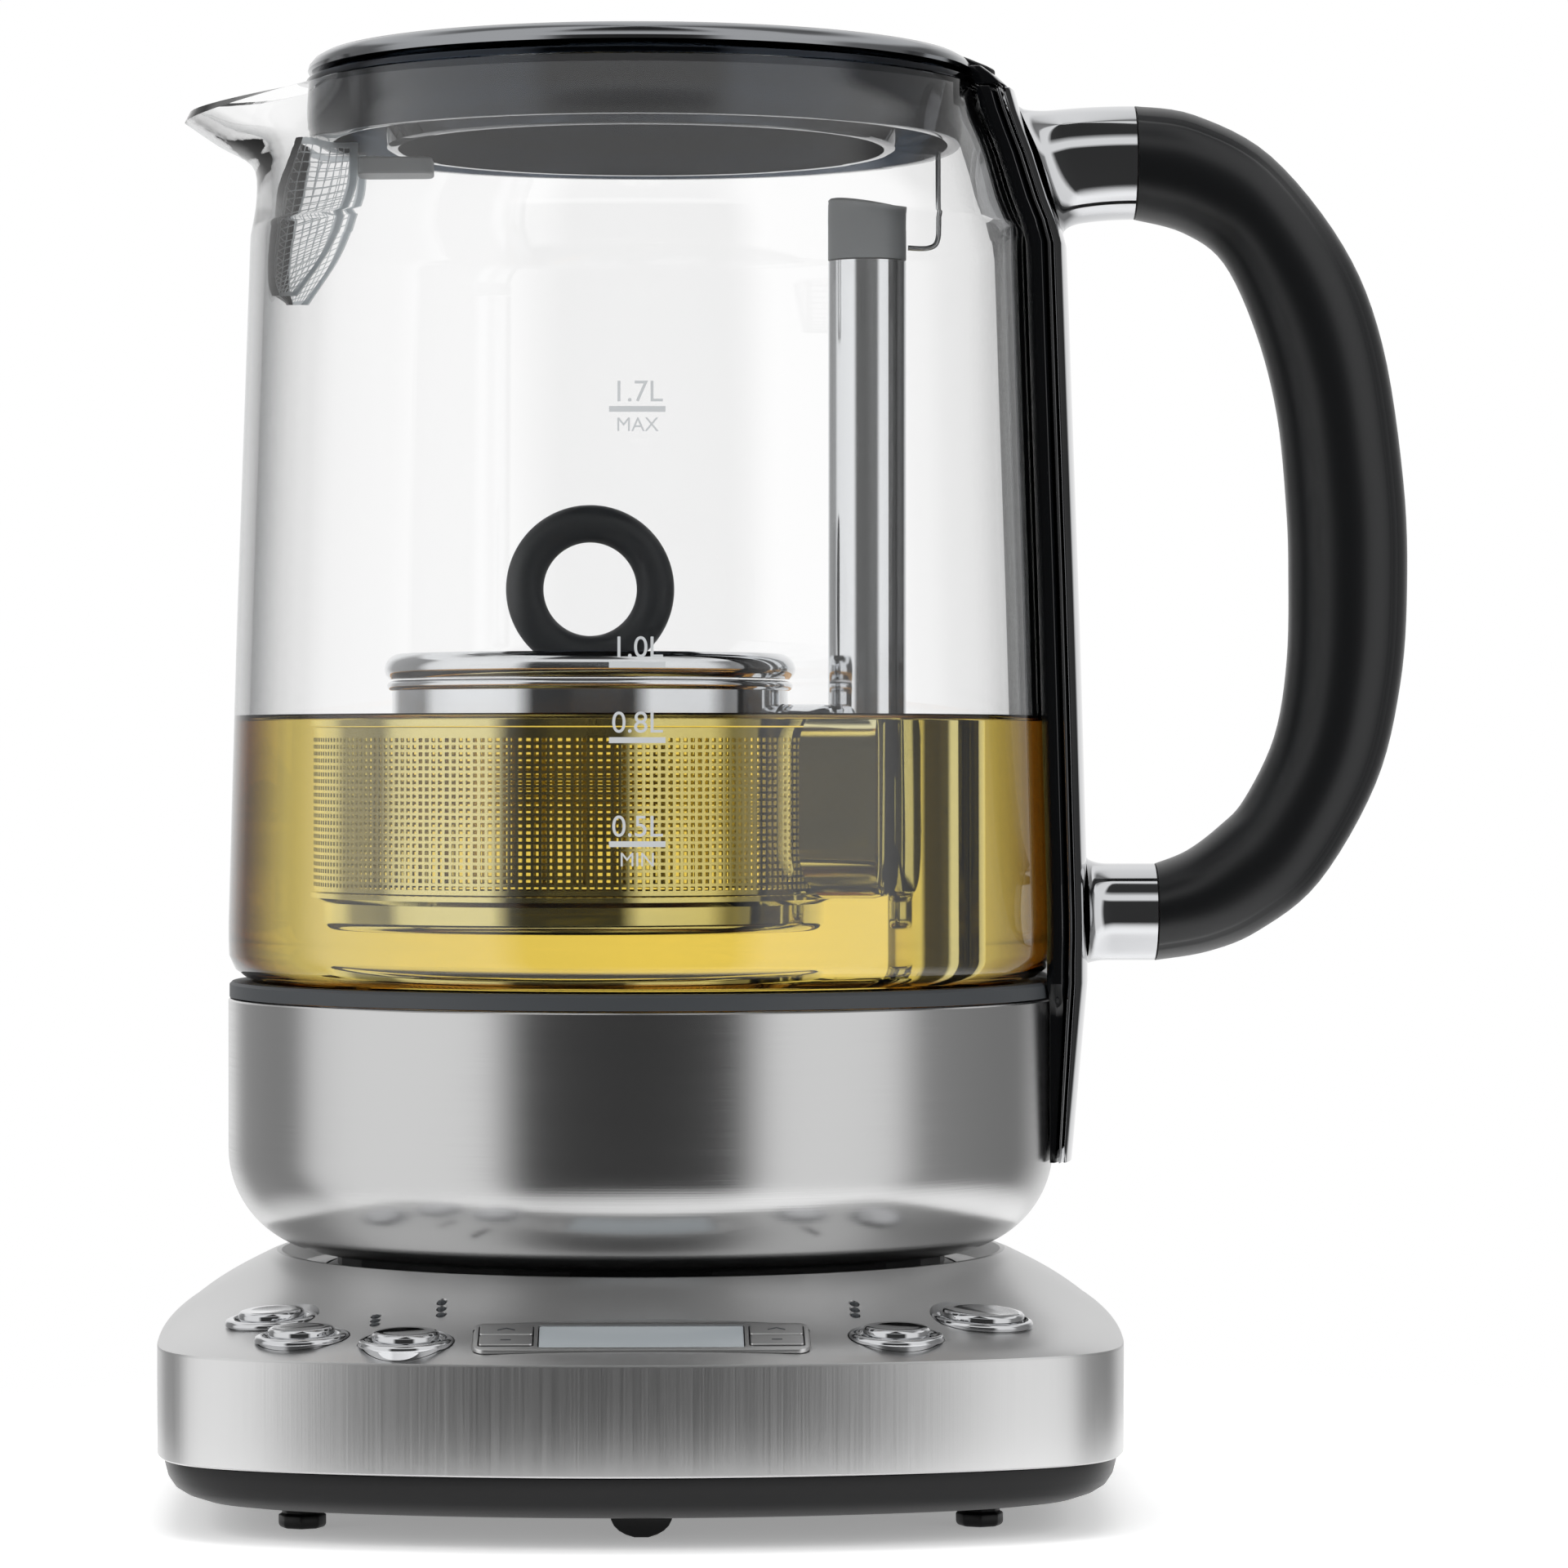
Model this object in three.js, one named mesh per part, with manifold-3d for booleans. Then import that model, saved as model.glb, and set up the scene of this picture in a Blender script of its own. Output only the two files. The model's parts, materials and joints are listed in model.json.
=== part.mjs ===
// Automatic tea maker: a glass jug with a handle, standing on a base with buttons and a display,
// and a steel infuser that climbs a column inside the jug.
// Millimetres, +Z up, front at -Y, handle at +X, spout at -X.

import * as THREE from 'three';
import { mergeVertices } from 'three/addons/utils/BufferGeometryUtils.js';
import Module from 'manifold-3d';

const wasm = await Module();
wasm.setup();

// Clearances and cuts
const touchGap = 0.3;
const slideGap = 0.5;
const overrun = 3;

// Base outline and heights
const baseHalfWidth = 87.6;
const baseHalfDepth = 94.5;
const baseSquareness = 4.4;
const trayBottom = 4.5;
const skirtBottom = 12.8;
const creaseHeight = 32;
const creaseBevel = 0.6;
const lipHeight = 44.2;
const lipRadius = 67;
const lipLand = 1.2;
const slopeCrown = 0.7;
const frontHollow = 5;
const coverWall = 1.6;
const ledgeDrop = 3;
const ledgeInnerRadius = 58;
const ledgeCorner = 3;
const trayWall = 2;
const trayInset = 1.3;
const trayBottomInset = 14;
const trayBulge = 3;
const trayLipDrop = 1.2;
const deckThickness = 2;
const deckTurnDown = 5;

// Electrical connector between the base and the jug
const connectorRadius = 12;
const connectorHeight = 5.5;
const connectorGroove = 1.2;
const contactRadius = 7;
const contactThickness = 1.2;
const contactHeight = 1.6;
const socketRadius = 19;
const socketWall = 2;
const socketHeight = 9;

// Feet
const footRadius = 4.2;
const footPadHeight = 2.4;
const footNeckRadius = 3.6;
const footSideX = 59;
const footSideY = 56;
const frontFootWidth = 10.8;
const frontFootHeight = 3.2;
const frontFootY = 67.5;
const frontFootDepth = 9;

// Cord outlet at the rear of the base
const outletWidth = 13;
const outletHeight = 7;
const outletDepth = 7;
const outletBore = 3.6;

// Controls on the sloped front of the base
const bezelRadius = 8.15;
const powerBezelRadius = 8.95;
const capRadius = 5.75;
const powerCapRadius = 7.35;
const bezelWall = 1.4;
const bezelRise = 1.6;
const bezelFlange = 0.5;
const capRise = 2.6;
const capBevel = 0.5;
const capGap = 0.3;
const buttonTiltShare = 0.4;
const capSkirt = 2.2;
const buttonTravel = 1;
const stemRadius = 2;
const stemLength = 3.2;
const buttonPlaces = [
  { name: 'start', x: -64.2, y: -59, cap: capRadius, bezel: bezelRadius },
  { name: 'keep_warm', x: -58, y: -75.8, cap: capRadius, bezel: bezelRadius },
  { name: 'tea_type', x: -40, y: -83.2, cap: capRadius, bezel: bezelRadius },
  { name: 'strength', x: 43.5, y: -80, cap: capRadius, bezel: bezelRadius },
  { name: 'power', x: 59, y: -63.6, cap: powerCapRadius, bezel: powerBezelRadius },
];
const panelY = -84.2;
const panelWidth = 57;
const panelDepth = 14.6;
const panelCorner = 2.2;
const panelThickness = 1.8;
const panelRise = 0.4;
const panelLip = 0.9;
const displayWidth = 34.8;
const displayDepth = 11.6;
const displayLensThickness = 1;
const displayModuleThickness = 2.6;
const keyWidth = 9;
const keyDepth = 5;
const keyThickness = 2.4;
const keyCentreX = 23;
const keyRise = 0.9;
const keyCorner = 1;
const keyRim = 0.5;
const dotRadius = 0.75;
const dotRise = 0.2;
const dotLength = 7;
const guideBarThickness = 1.4;
const guideBarMargin = 2.2;
const dotPitch = 2.9;
const leftDotColumns = [-45.8, -34.4];
const rightDotColumns = [36.8];
const leftDotsY = -69;
const rightDotsY = -68;
const boardTop = 21;
const boardThickness = 1.6;
const boardFront = -80;
const boardBack = -30;
const boardHalfWidth = 66;
const boardCorner = 8;
const boardPostX = 50;
const boardPostInset = 9;
const boardPostRadius = 3;

// Jug: steel shell, floor and underside
const shellRadius = 75.5;
const shellBottomRadius = 57;
const shellBottom = 44.3;
const shellCorner = 18.5;
const shellTop = 90.2;
const shellWall = 1;
const undersideThickness = 2.2;
const undersideRingDrop = 1.9;
const undersideRingWidth = 3;
const plateRadius = 72.4;
const plateThickness = 1.4;
const plateDish = 0.8;
const plateTop = 90.2;
const elementRingRadius = 26;
const elementTubeRadius = 3.6;
const elementGapAngle = 50;
const probeRadius = 3.4;
const probeHeight = 6.5;
const probeStem = 8;
const probeX = -46;
const probeY = -24;
const sealTop = 93.3;
const sealRadius = 75.3;
const sealInnerRadius = 71.2;
const sealBevel = 0.5;

// Jug: glass body
const glassWall = 2.8;
const glassBottomCorner = 4.5;
const glassWidestHeight = 104;
const glassMiddleHeight = 157;
const glassMiddleRadius = 74;
const glassUpperHeight = 200;
const glassUpperRadius = 72.5;
const shoulderHeight = 229;
const shoulderRadius = 71.5;
const neckHeight = 235;
const neckRadius = 69;
const throatHeight = 243.5;
const throatRadius = 66.3;
const collarGlassHeight = 250.5;
const collarGlassRadius = 63.6;
const rimHeight = 256;
const rimRadius = 62;
const spoutHalfAngle = 34;
const spoutReach = 83.6;
const spoutTipHeight = 250.2;
const spoutUnderRadius = 71.3;
const spoutUnderHeight = 242.4;
const spoutMiddleRadius = 77.4;
const spoutMiddleHeight = 246;
const spoutRootRadius = 70.4;
const spoutRootHeight = 236.5;
const spoutLipThickness = 1.9;

// Lid and neck
const collarRadius = 58.6;
const collarWall = 2.4;
const collarBottom = 245.6;
const collarFlangeRadius = 61.4;
const collarFlangeThickness = 1.2;
const lidRadius = 61;
const lidEdgeHeight = 259.4;
const lidTop = 262;
const lidUnderRadius = 58.5;
const lidRimWidth = 4.5;
const lidSink = 0.6;
const plugFlangeRadius = 54;
const plugBottomRadius = 46.5;
const plugBottom = 245.1;
const plugWall = 2;
const plugTaperHeight = 249.5;
const sealRingHeight = 252.4;
const sealRingWidth = 1.9;
const tabLength = 5;
const tabWidth = 12;
const tabHeight = 1.6;
const notchHalfWidth = 9.6;
const notchX = 56.4;

// Spout filter, hung from the collar
const filterTopX = -56;
const filterOuterX = -65.6;
const filterTipX = -64.6;
const filterInnerX = -52.4;
const filterTop = 245.3;
const filterBend = 236;
const filterBottom = 217.6;
const filterFrameBar = 1.6;
const filterHalfWidth = 11;
const filterMeshThickness = 0.8;
const filterColumns = 4;
const filterRows = 5;
const filterHoleShare = 0.5;
const clipLength = 14;
const clipThickness = 1.4;

// Lift column and its drive
const columnX = 41.5;
const columnRadius = 7.2;
const columnWall = 0.7;
const columnTop = 225;
const columnFlangeRadius = 10;
const columnFlangeThickness = 1.2;
const capTopLow = 234.6;
const capTopHigh = 236.4;
const capTaper = 0.5;
const capWireHeight = 227.6;
const wireRadius = 0.5;
const wireReach = 54.6;
const wireTop = 245.3;
const stayTabLength = 5;
const stayTabHalfWidth = 3;
const stayTabThickness = 2;
const screwRadius = 1.5;
const screwTop = 220;
const carriageHeight = 24;
const motorRadius = 11;
const motorTop = 76;
const motorBossRadius = 4;
const motorBossHeight = 4;

// Infuser
const infuserX = -9.4;
const basketRadius = 36.3;
const basketWall = 0.9;
const basketBottom = 102.4;
const screenBottom = 109;
const screenTop = 139;
const basketTop = 148;
const basketStep = 1.8;
const basketRoll = 0.9;
const screenRows = 3;
const screenColumns = 20;
const screenHoleShare = 0.42;
const sleeveWall = 2.2;
const sleeveBottom = 111;
const sleeveTop = 145.5;
const sleeveBlockHalfWidth = 7.5;
const infuserLidRadius = 37.7;
const infuserLidBottom = 148.3;
const infuserLidTop = 152.9;
const infuserLidWall = 1;
const infuserDishRadius = 28;
const infuserDishHeight = 150.2;
const infuserBossHeight = 151.4;
const infuserBossRadius = 8;
const knobRingRadius = 12;
const knobTubeRadius = 3.45;
const knobCentre = 164.9;
const knobStemRadius = 4.2;

// Handle
const bandHalfAngle = 15.2;
const bandThickness = 2.1;
const bandGap = 0.45;
const trimHalfAngle = 13.6;
const trimThickness = 0.9;
const coverHalfAngle = 12.2;
const coverThickness = 2.4;
const bandBottom = 60.6;
const bandTop = 257;
const hookInnerX = 57;
const hookOuterX = 63.8;
const hookThickness = 4.6;
const hookHalfWidth = 9;
const upperSleeveEnd = 90.4;
const upperSleeveCentre = 243.4;
const upperSleeveHeight = 20.8;
const lowerSleeveEnd = 94.2;
const lowerSleeveCentre = 105.7;
const lowerSleeveHeight = 17.8;
const sleeveWidth = 21;
const sleeveFlare = 1.4;
const gripWidth = 22;

// Facets
const roundSteps = 28;
const glassSteps = 40;
const outlineSteps = 40;
const buttonSteps = 12;
const smallSteps = 8;
const arcSteps = 4;
const outlineCurveSteps = 2;

// Small helpers
const degrees = Math.PI / 180;
const up = new THREE.Vector3(0, 0, 1);
const mix = THREE.MathUtils.lerp;

function closeMesh(geometry) {
  const plain = geometry.clone();
  plain.deleteAttribute('normal');
  plain.deleteAttribute('uv');
  return mergeVertices(plain);
}

function toSolid(geometry) {
  const merged = closeMesh(geometry);
  const vertProperties = new Float32Array(merged.attributes.position.array);
  const triVerts = new Uint32Array(merged.index.array);
  return new wasm.Manifold(new wasm.Mesh({ numProp: 3, vertProperties, triVerts }));
}

function toGeometry(solid) {
  const mesh = solid.getMesh();
  const geometry = new THREE.BufferGeometry();
  geometry.setAttribute('position', new THREE.BufferAttribute(new Float32Array(mesh.vertProperties), 3));
  geometry.setIndex(new THREE.BufferAttribute(new Uint32Array(mesh.triVerts), 1));
  geometry.computeVertexNormals();
  return geometry;
}

function join(first, ...others) {
  return toGeometry(others.reduce((sum, other) => sum.add(toSolid(other)), toSolid(first)));
}

function cut(body, ...tools) {
  return toGeometry(tools.reduce((rest, tool) => rest.subtract(toSolid(tool)), toSolid(body)));
}

// A profile of [radius, height] pairs turned about the Z axis, whichever way round it runs
function turn(profile, steps = roundSteps) {
  const points = profile.map(([radius, height]) => new THREE.Vector2(radius, height));
  if (THREE.ShapeUtils.isClockWise(points)) points.reverse();
  return closeMesh(new THREE.LatheGeometry(points, steps).rotateX(Math.PI / 2));
}

// An upright round bar between two heights
function bar(radius, bottom, top, steps = smallSteps) {
  return turn([[0, bottom], [radius, bottom], [radius, top], [0, top]], steps);
}

function block(x0, x1, y0, y1, z0, z1) {
  const box = new THREE.BoxGeometry(x1 - x0, y1 - y0, z1 - z0);
  return box.translate((x0 + x1) / 2, (y0 + y1) / 2, (z0 + z1) / 2);
}

// Quarter round from the angle a0 to a1, as [radius, height] pairs
function arc(centreR, centreZ, radius, a0, a1, steps = arcSteps) {
  return Array.from({ length: steps + 1 }, (_, i) => {
    const angle = mix(a0, a1, i / steps) * degrees;
    return [centreR + radius * Math.cos(angle), centreZ + radius * Math.sin(angle)];
  });
}

// Skin over rings with equal counts; the ends are capped, or joined to each other
function loft(rings, joined = false) {
  const count = rings[0].length;
  const positions = rings.flat().flatMap((p) => [p.x, p.y, p.z]);
  const index = [];
  const bands = joined ? rings.length : rings.length - 1;
  for (let i = 0; i < bands; i += 1) {
    const lower = i * count;
    const upper = ((i + 1) % rings.length) * count;
    for (let j = 0; j < count; j += 1) {
      const k = (j + 1) % count;
      index.push(lower + j, lower + k, upper + k, lower + j, upper + k, upper + j);
    }
  }
  if (!joined) {
    for (const [ring, flip] of [[0, true], [rings.length - 1, false]]) {
      const middle = positions.length / 3;
      const centre = new THREE.Vector3();
      rings[ring].forEach((p) => centre.addScaledVector(p, 1 / count));
      positions.push(centre.x, centre.y, centre.z);
      for (let j = 0; j < count; j += 1) {
        const a = ring * count + j;
        const b = ring * count + ((j + 1) % count);
        index.push(middle, flip ? b : a, flip ? a : b);
      }
    }
  }
  const geometry = new THREE.BufferGeometry();
  geometry.setAttribute('position', new THREE.Float32BufferAttribute(positions, 3));
  geometry.setIndex(index);
  return geometry;
}

function roundedRectangle(width, depth, corner) {
  const x = width / 2;
  const y = depth / 2;
  const shape = new THREE.Shape();
  shape.moveTo(corner - x, -y);
  shape.lineTo(x - corner, -y);
  shape.absarc(x - corner, corner - y, corner, -Math.PI / 2, 0);
  shape.absarc(x - corner, y - corner, corner, 0, Math.PI / 2);
  shape.absarc(corner - x, y - corner, corner, Math.PI / 2, Math.PI);
  shape.absarc(corner - x, corner - y, corner, Math.PI, Math.PI * 1.5);
  return shape;
}

function plate(shape, bottom, thickness) {
  const geometry = new THREE.ExtrudeGeometry(shape, { depth: thickness, bevelEnabled: false, curveSegments: outlineCurveSteps });
  return geometry.translate(0, 0, bottom);
}

const finishes = {
  steel: { color: 0xb9bcbe, roughness: 0.35, metalness: 1 },
  chrome: { color: 0xdfe2e4, roughness: 0.08, metalness: 1 },
  blackPlastic: { color: 0x1b1c1e, roughness: 0.5, metalness: 0 },
  softBlack: { color: 0x141517, roughness: 0.6, metalness: 0 },
  greyPlastic: { color: 0x6f7478, roughness: 0.5, metalness: 0 },
  silicone: { color: 0x3a3d40, roughness: 0.7, metalness: 0 },
  smoke: { color: 0x59626c, roughness: 0.1, metalness: 0 },
  glass: { color: 0xf2f6f7, roughness: 0.02, metalness: 0 },
  screen: { color: 0x8e9498, roughness: 0.1, metalness: 0 },
  board: { color: 0x2d5a3c, roughness: 0.6, metalness: 0 },
};

const teaMaker = new THREE.Group();

function addPart(name, geometry, finish, parent = teaMaker) {
  const mesh = new THREE.Mesh(geometry, new THREE.MeshStandardMaterial(finishes[finish]));
  mesh.name = name;
  parent.add(mesh);
  return mesh;
}

// Base outline: a squared oval that turns into the round lip
function ovalRing(height, halfX, halfY, squareness) {
  return Array.from({ length: outlineSteps }, (_, i) => {
    const angle = (i / outlineSteps) * Math.PI * 2;
    const cos = Math.cos(angle);
    const sin = Math.sin(angle);
    const x = halfX * Math.sign(cos) * Math.abs(cos) ** (2 / squareness);
    const y = halfY * Math.sign(sin) * Math.abs(sin) ** (2 / squareness);
    return new THREE.Vector3(x, y, height);
  });
}

function baseRing(height, inset) {
  return ovalRing(height, baseHalfWidth - inset, baseHalfDepth - inset, baseSquareness);
}

function roundRing(height, radius) {
  return ovalRing(height, radius, radius, 2);
}

// The slope from the crease (share 0) to the lip (share 1): hollow at the front, crowned elsewhere
function slopeAt(share) {
  return {
    halfX: mix(baseHalfWidth - creaseBevel, lipRadius, share),
    halfY: mix(baseHalfDepth - creaseBevel, lipRadius, share),
    squareness: mix(baseSquareness, 2, share),
  };
}

function slopeLevel(share, sine) {
  const front = THREE.MathUtils.smoothstep(-sine, 0.1, 0.7);
  const bulge = mix(slopeCrown, -frontHollow * share, front);
  return mix(creaseHeight, lipHeight, share) + bulge * Math.sin(Math.PI * share);
}

function slopeRing(share) {
  const { halfX, halfY, squareness } = slopeAt(share);
  const ring = ovalRing(0, halfX, halfY, squareness);
  ring.forEach((point, i) => point.setZ(slopeLevel(share, Math.sin((i / outlineSteps) * Math.PI * 2))));
  return ring;
}

function slopeHeight(x, y) {
  let low = 0;
  let high = 1;
  for (let i = 0; i < 30; i += 1) {
    const share = (low + high) / 2;
    const { halfX, halfY, squareness } = slopeAt(share);
    const reach = Math.abs(x / halfX) ** squareness + Math.abs(y / halfY) ** squareness;
    if (reach < 1) low = share;
    else high = share;
  }
  const { halfY, squareness } = slopeAt(low);
  return slopeLevel(low, Math.sign(y) * Math.abs(y / halfY) ** (squareness / 2));
}

// A group that stands on the slope at x, y; a tilt share of 1 is square on it, and 0 is upright
function slopeSeat(x, y, reach, tiltShare = 1) {
  const height = slopeHeight(x, y);
  const alongX = new THREE.Vector3(2 * reach, 0, slopeHeight(x + reach, y) - slopeHeight(x - reach, y));
  const alongY = new THREE.Vector3(0, 2 * reach, slopeHeight(x, y + reach) - slopeHeight(x, y - reach));
  const normal = alongX.cross(alongY).normalize();
  normal.lerp(up, 1 - tiltShare).normalize();
  const seat = new THREE.Group();
  seat.position.set(x, y, height);
  seat.quaternion.setFromUnitVectors(up, normal);
  seat.updateMatrix();
  return seat;
}

function placed(geometry, seat) {
  return geometry.clone().applyMatrix4(seat.matrix);
}

// Base tray with a rounded underside
const trayTop = skirtBottom - touchGap;
const trayOuter = [
  baseRing(trayBottom, trayBottomInset),
  baseRing(mix(trayBottom, trayTop, 0.12), mix(trayInset, trayBottomInset, 0.55)),
  baseRing(mix(trayBottom, trayTop, 0.4), trayInset + trayBulge / 2),
  baseRing(trayTop - trayLipDrop, trayInset),
  baseRing(trayTop, trayInset),
];
const trayInner = [
  baseRing(trayTop, trayInset + trayWall),
  baseRing(trayBottom + trayWall, trayBottomInset),
];
const boardPosts = [boardFront + boardPostInset, boardBack - boardPostInset].flatMap((y) => (
  [-boardPostX, boardPostX].map((x) => (
    bar(boardPostRadius, trayBottom + trayWall / 2, boardTop - boardThickness - touchGap).translate(x, y, 0)
  ))
));
addPart('base_tray', join(loft([...trayOuter, ...trayInner]), ...boardPosts), 'blackPlastic');

// Base cover: skirt, crease, slope, lip and ledge
const ledgeHeight = lipHeight - ledgeDrop;
const ledgeOuterRadius = lipRadius - lipLand - ledgeCorner;
const slopeShares = [0, 0.3, 0.6, 0.8];
const coverRings = [
  baseRing(skirtBottom, 0),
  baseRing(creaseHeight - creaseBevel, 0),
  ...slopeShares.map(slopeRing),
  roundRing(lipHeight, lipRadius),
  roundRing(lipHeight, lipRadius - lipLand),
  roundRing(ledgeHeight, ledgeOuterRadius),
  roundRing(ledgeHeight, ledgeInnerRadius),
  roundRing(ledgeHeight - coverWall, ledgeInnerRadius),
  roundRing(ledgeHeight - coverWall, ledgeOuterRadius),
  baseRing(creaseHeight - coverWall, coverWall * 2),
  baseRing(skirtBottom, coverWall),
];
const coverShell = loft(coverRings, true);

const buttonSeats = buttonPlaces.map((place) => slopeSeat(place.x, place.y, place.cap, buttonTiltShare));
const panelSeat = slopeSeat(0, panelY, panelDepth / 3);
const holeDepth = coverWall * 4;

const bezelSeat = touchGap + capBevel;
function buttonHole(place, seat) {
  const neck = place.bezel - bezelFlange;
  const step = bezelSeat - touchGap;
  const tool = turn([
    [0, -holeDepth],
    [neck, -holeDepth],
    [neck, step],
    [place.bezel + touchGap, step],
    [place.bezel + touchGap, holeDepth],
    [0, holeDepth],
  ], buttonSteps);
  return placed(tool, seat);
}

function panelOutline(grow) {
  return roundedRectangle(panelWidth + 2 * grow, panelDepth + 2 * grow, panelCorner + grow);
}

const dotRows = [-dotPitch, 0, dotPitch];
const leftDots = leftDotColumns.flatMap((x) => dotRows.map((dy) => [x, leftDotsY + dy]));
const rightDots = rightDotColumns.flatMap((x) => dotRows.map((dy) => [x, rightDotsY + dy]));

function dotHole([x, y]) {
  const height = slopeHeight(x, y);
  return bar(dotRadius + touchGap, height - holeDepth, height + holeDepth, smallSteps / 2).translate(x, y, 0);
}

const panelHole = placed(plate(panelOutline(touchGap - panelLip), -holeDepth, 2 * holeDepth), panelSeat);
const coverCuts = [
  ...buttonPlaces.map((place, i) => buttonHole(place, buttonSeats[i])),
  panelHole,
  ...[...leftDots, ...rightDots].map(dotHole),
];
const outletCentre = (skirtBottom + creaseHeight) / 2 - outletHeight / 2;
const outletHole = block(
  -outletWidth / 2 - touchGap, outletWidth / 2 + touchGap,
  baseHalfDepth - outletDepth, baseHalfDepth + overrun,
  outletCentre - outletHeight / 2 - touchGap, outletCentre + outletHeight / 2 + touchGap,
);
addPart('base_cover', cut(coverShell, ...coverCuts, outletHole), 'steel');

// Deck that the jug stands on, with the connector in its middle
const deckTop = ledgeHeight;
const deckRadius = ledgeInnerRadius - touchGap;
addPart('base_deck', turn([
  [connectorRadius + touchGap, deckTop],
  [deckRadius, deckTop],
  [deckRadius, deckTop - deckThickness - deckTurnDown],
  [deckRadius - deckThickness, deckTop - deckThickness - deckTurnDown],
  [deckRadius - deckThickness, deckTop - deckThickness],
  [connectorRadius + touchGap, deckTop - deckThickness],
  [connectorRadius + touchGap, deckTop],
]), 'blackPlastic');

const connectorTop = deckTop + connectorHeight;
const connectorBottom = deckTop - deckThickness - deckTurnDown;
addPart('base_connector', turn([
  [contactRadius - contactThickness, connectorTop + contactHeight],
  [contactRadius, connectorTop + contactHeight],
  [contactRadius + contactThickness, connectorTop],
  [connectorRadius - connectorGroove, connectorTop],
  [connectorRadius, connectorTop - connectorGroove],
  [connectorRadius, connectorBottom],
  [contactRadius - contactThickness, connectorBottom],
  [contactRadius - contactThickness, connectorTop + contactHeight],
], 24), 'blackPlastic');

// Cord outlet
const outletBody = block(
  -outletWidth / 2, outletWidth / 2,
  baseHalfDepth - outletDepth + touchGap, baseHalfDepth,
  outletCentre - outletHeight / 2, outletCentre + outletHeight / 2,
);
const outletTool = new THREE.CylinderGeometry(outletBore / 2, outletBore / 2, outletDepth + overrun, smallSteps);
outletTool.translate(0, baseHalfDepth - outletDepth / 2, outletCentre);
addPart('cord_outlet', cut(outletBody, outletTool), 'softBlack');

// Feet: four round ones and a rounded block at the front
const footTop = trayBottom - touchGap;
for (const [name, sx, sy] of [['front_left', -1, -1], ['front_right', 1, -1], ['rear_left', -1, 1], ['rear_right', 1, 1]]) {
  const foot = turn([
    [0, 0], [footRadius - wireRadius, 0], [footRadius, wireRadius], [footRadius, footPadHeight],
    [footNeckRadius, footPadHeight], [footNeckRadius, footTop], [0, footTop],
  ], smallSteps);
  addPart(`foot_${name}`, foot.translate(sx * footSideX, sy * footSideY, 0), 'softBlack');
}
const frontFootShape = new THREE.Shape();
const frontFootHalf = frontFootWidth / 2;
frontFootShape.moveTo(-frontFootHalf, footTop);
frontFootShape.quadraticCurveTo(-frontFootHalf, footTop - frontFootHeight, footRadius - frontFootHalf, 0);
frontFootShape.lineTo(frontFootHalf - footRadius, 0);
frontFootShape.quadraticCurveTo(frontFootHalf, footTop - frontFootHeight, frontFootHalf, footTop);
const frontFoot = new THREE.ExtrudeGeometry(frontFootShape, { depth: frontFootDepth, bevelEnabled: false, curveSegments: 5 });
frontFoot.rotateX(Math.PI / 2).translate(0, frontFootDepth / 2 - frontFootY, 0);
addPart('foot_front_centre', frontFoot, 'softBlack');

// Round buttons: a flanged bezel and a cap with its stem
buttonPlaces.forEach((place, i) => {
  const seat = buttonSeats[i];
  teaMaker.add(seat);
  const holeRadius = place.bezel - bezelFlange - touchGap;
  const bore = place.cap + capGap;
  addPart(`bezel_${place.name}`, turn([
    [bore, bezelRise],
    [place.bezel - bezelWall, bezelRise],
    [place.bezel, bezelRise - bezelFlange],
    [place.bezel, bezelSeat],
    [holeRadius, bezelSeat],
    [holeRadius, -coverWall * 2],
    [bore, -coverWall * 2],
    [bore, bezelRise],
  ], buttonSteps), 'chrome', seat);
  const capTop = bezelRise + capRise - buttonTravel;
  addPart(`button_${place.name}`, turn([
    [0, capTop],
    [place.cap - capBevel, capTop],
    [place.cap, capTop - capBevel],
    [place.cap, -capSkirt],
    [stemRadius, -capSkirt],
    [stemRadius, -capSkirt - stemLength],
    [0, -capSkirt - stemLength],
  ], buttonSteps), 'chrome', seat);
});

// Display panel: a framed plate with the lens and four arrow keys
teaMaker.add(panelSeat);
const panelBottom = panelRise - panelThickness;
const panelStep = touchGap + capBevel;
const keyRows = [
  { name: 'up', y: (keyDepth + keyRim) / 2 },
  { name: 'down', y: -(keyDepth + keyRim) / 2 },
];
const keySides = [
  { name: 'left', x: -keyCentreX },
  { name: 'right', x: keyCentreX },
];
const panelLift = 2 * panelRise + capBevel;
const panelFlange = plate(panelOutline(0), panelLift, panelThickness - panelStep);
const panelNeck = plate(panelOutline(-panelLip), panelBottom - coverWall, panelThickness + coverWall + panelLip);
const keyOpenings = keySides.map(({ x }) => {
  const width = keyWidth + 2 * slideGap;
  const depth = 2 * keyDepth + keyRim + 2 * slideGap;
  return plate(roundedRectangle(width, depth, keyCorner), -holeDepth, 2 * holeDepth).translate(x, 0, 0);
});
const displayOpening = block(
  -displayWidth / 2 - touchGap, displayWidth / 2 + touchGap,
  -displayDepth / 2 - touchGap, displayDepth / 2 + touchGap, -holeDepth, holeDepth,
);
addPart('display_bezel', cut(join(panelNeck, panelFlange), displayOpening, ...keyOpenings), 'chrome', panelSeat);
const lensTop = panelLift + panelThickness - panelStep - panelRise;
addPart('display_lens', plate(roundedRectangle(displayWidth, displayDepth, keyRim), lensTop - displayLensThickness,
  displayLensThickness), 'screen', panelSeat);
const moduleTop = lensTop - displayLensThickness - touchGap;
addPart('display_module', block(
  -displayWidth / 2 + keyRim, displayWidth / 2 - keyRim, -displayDepth / 2 + keyRim, displayDepth / 2 - keyRim,
  moduleTop - displayModuleThickness, moduleTop,
), 'blackPlastic', panelSeat);
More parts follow.
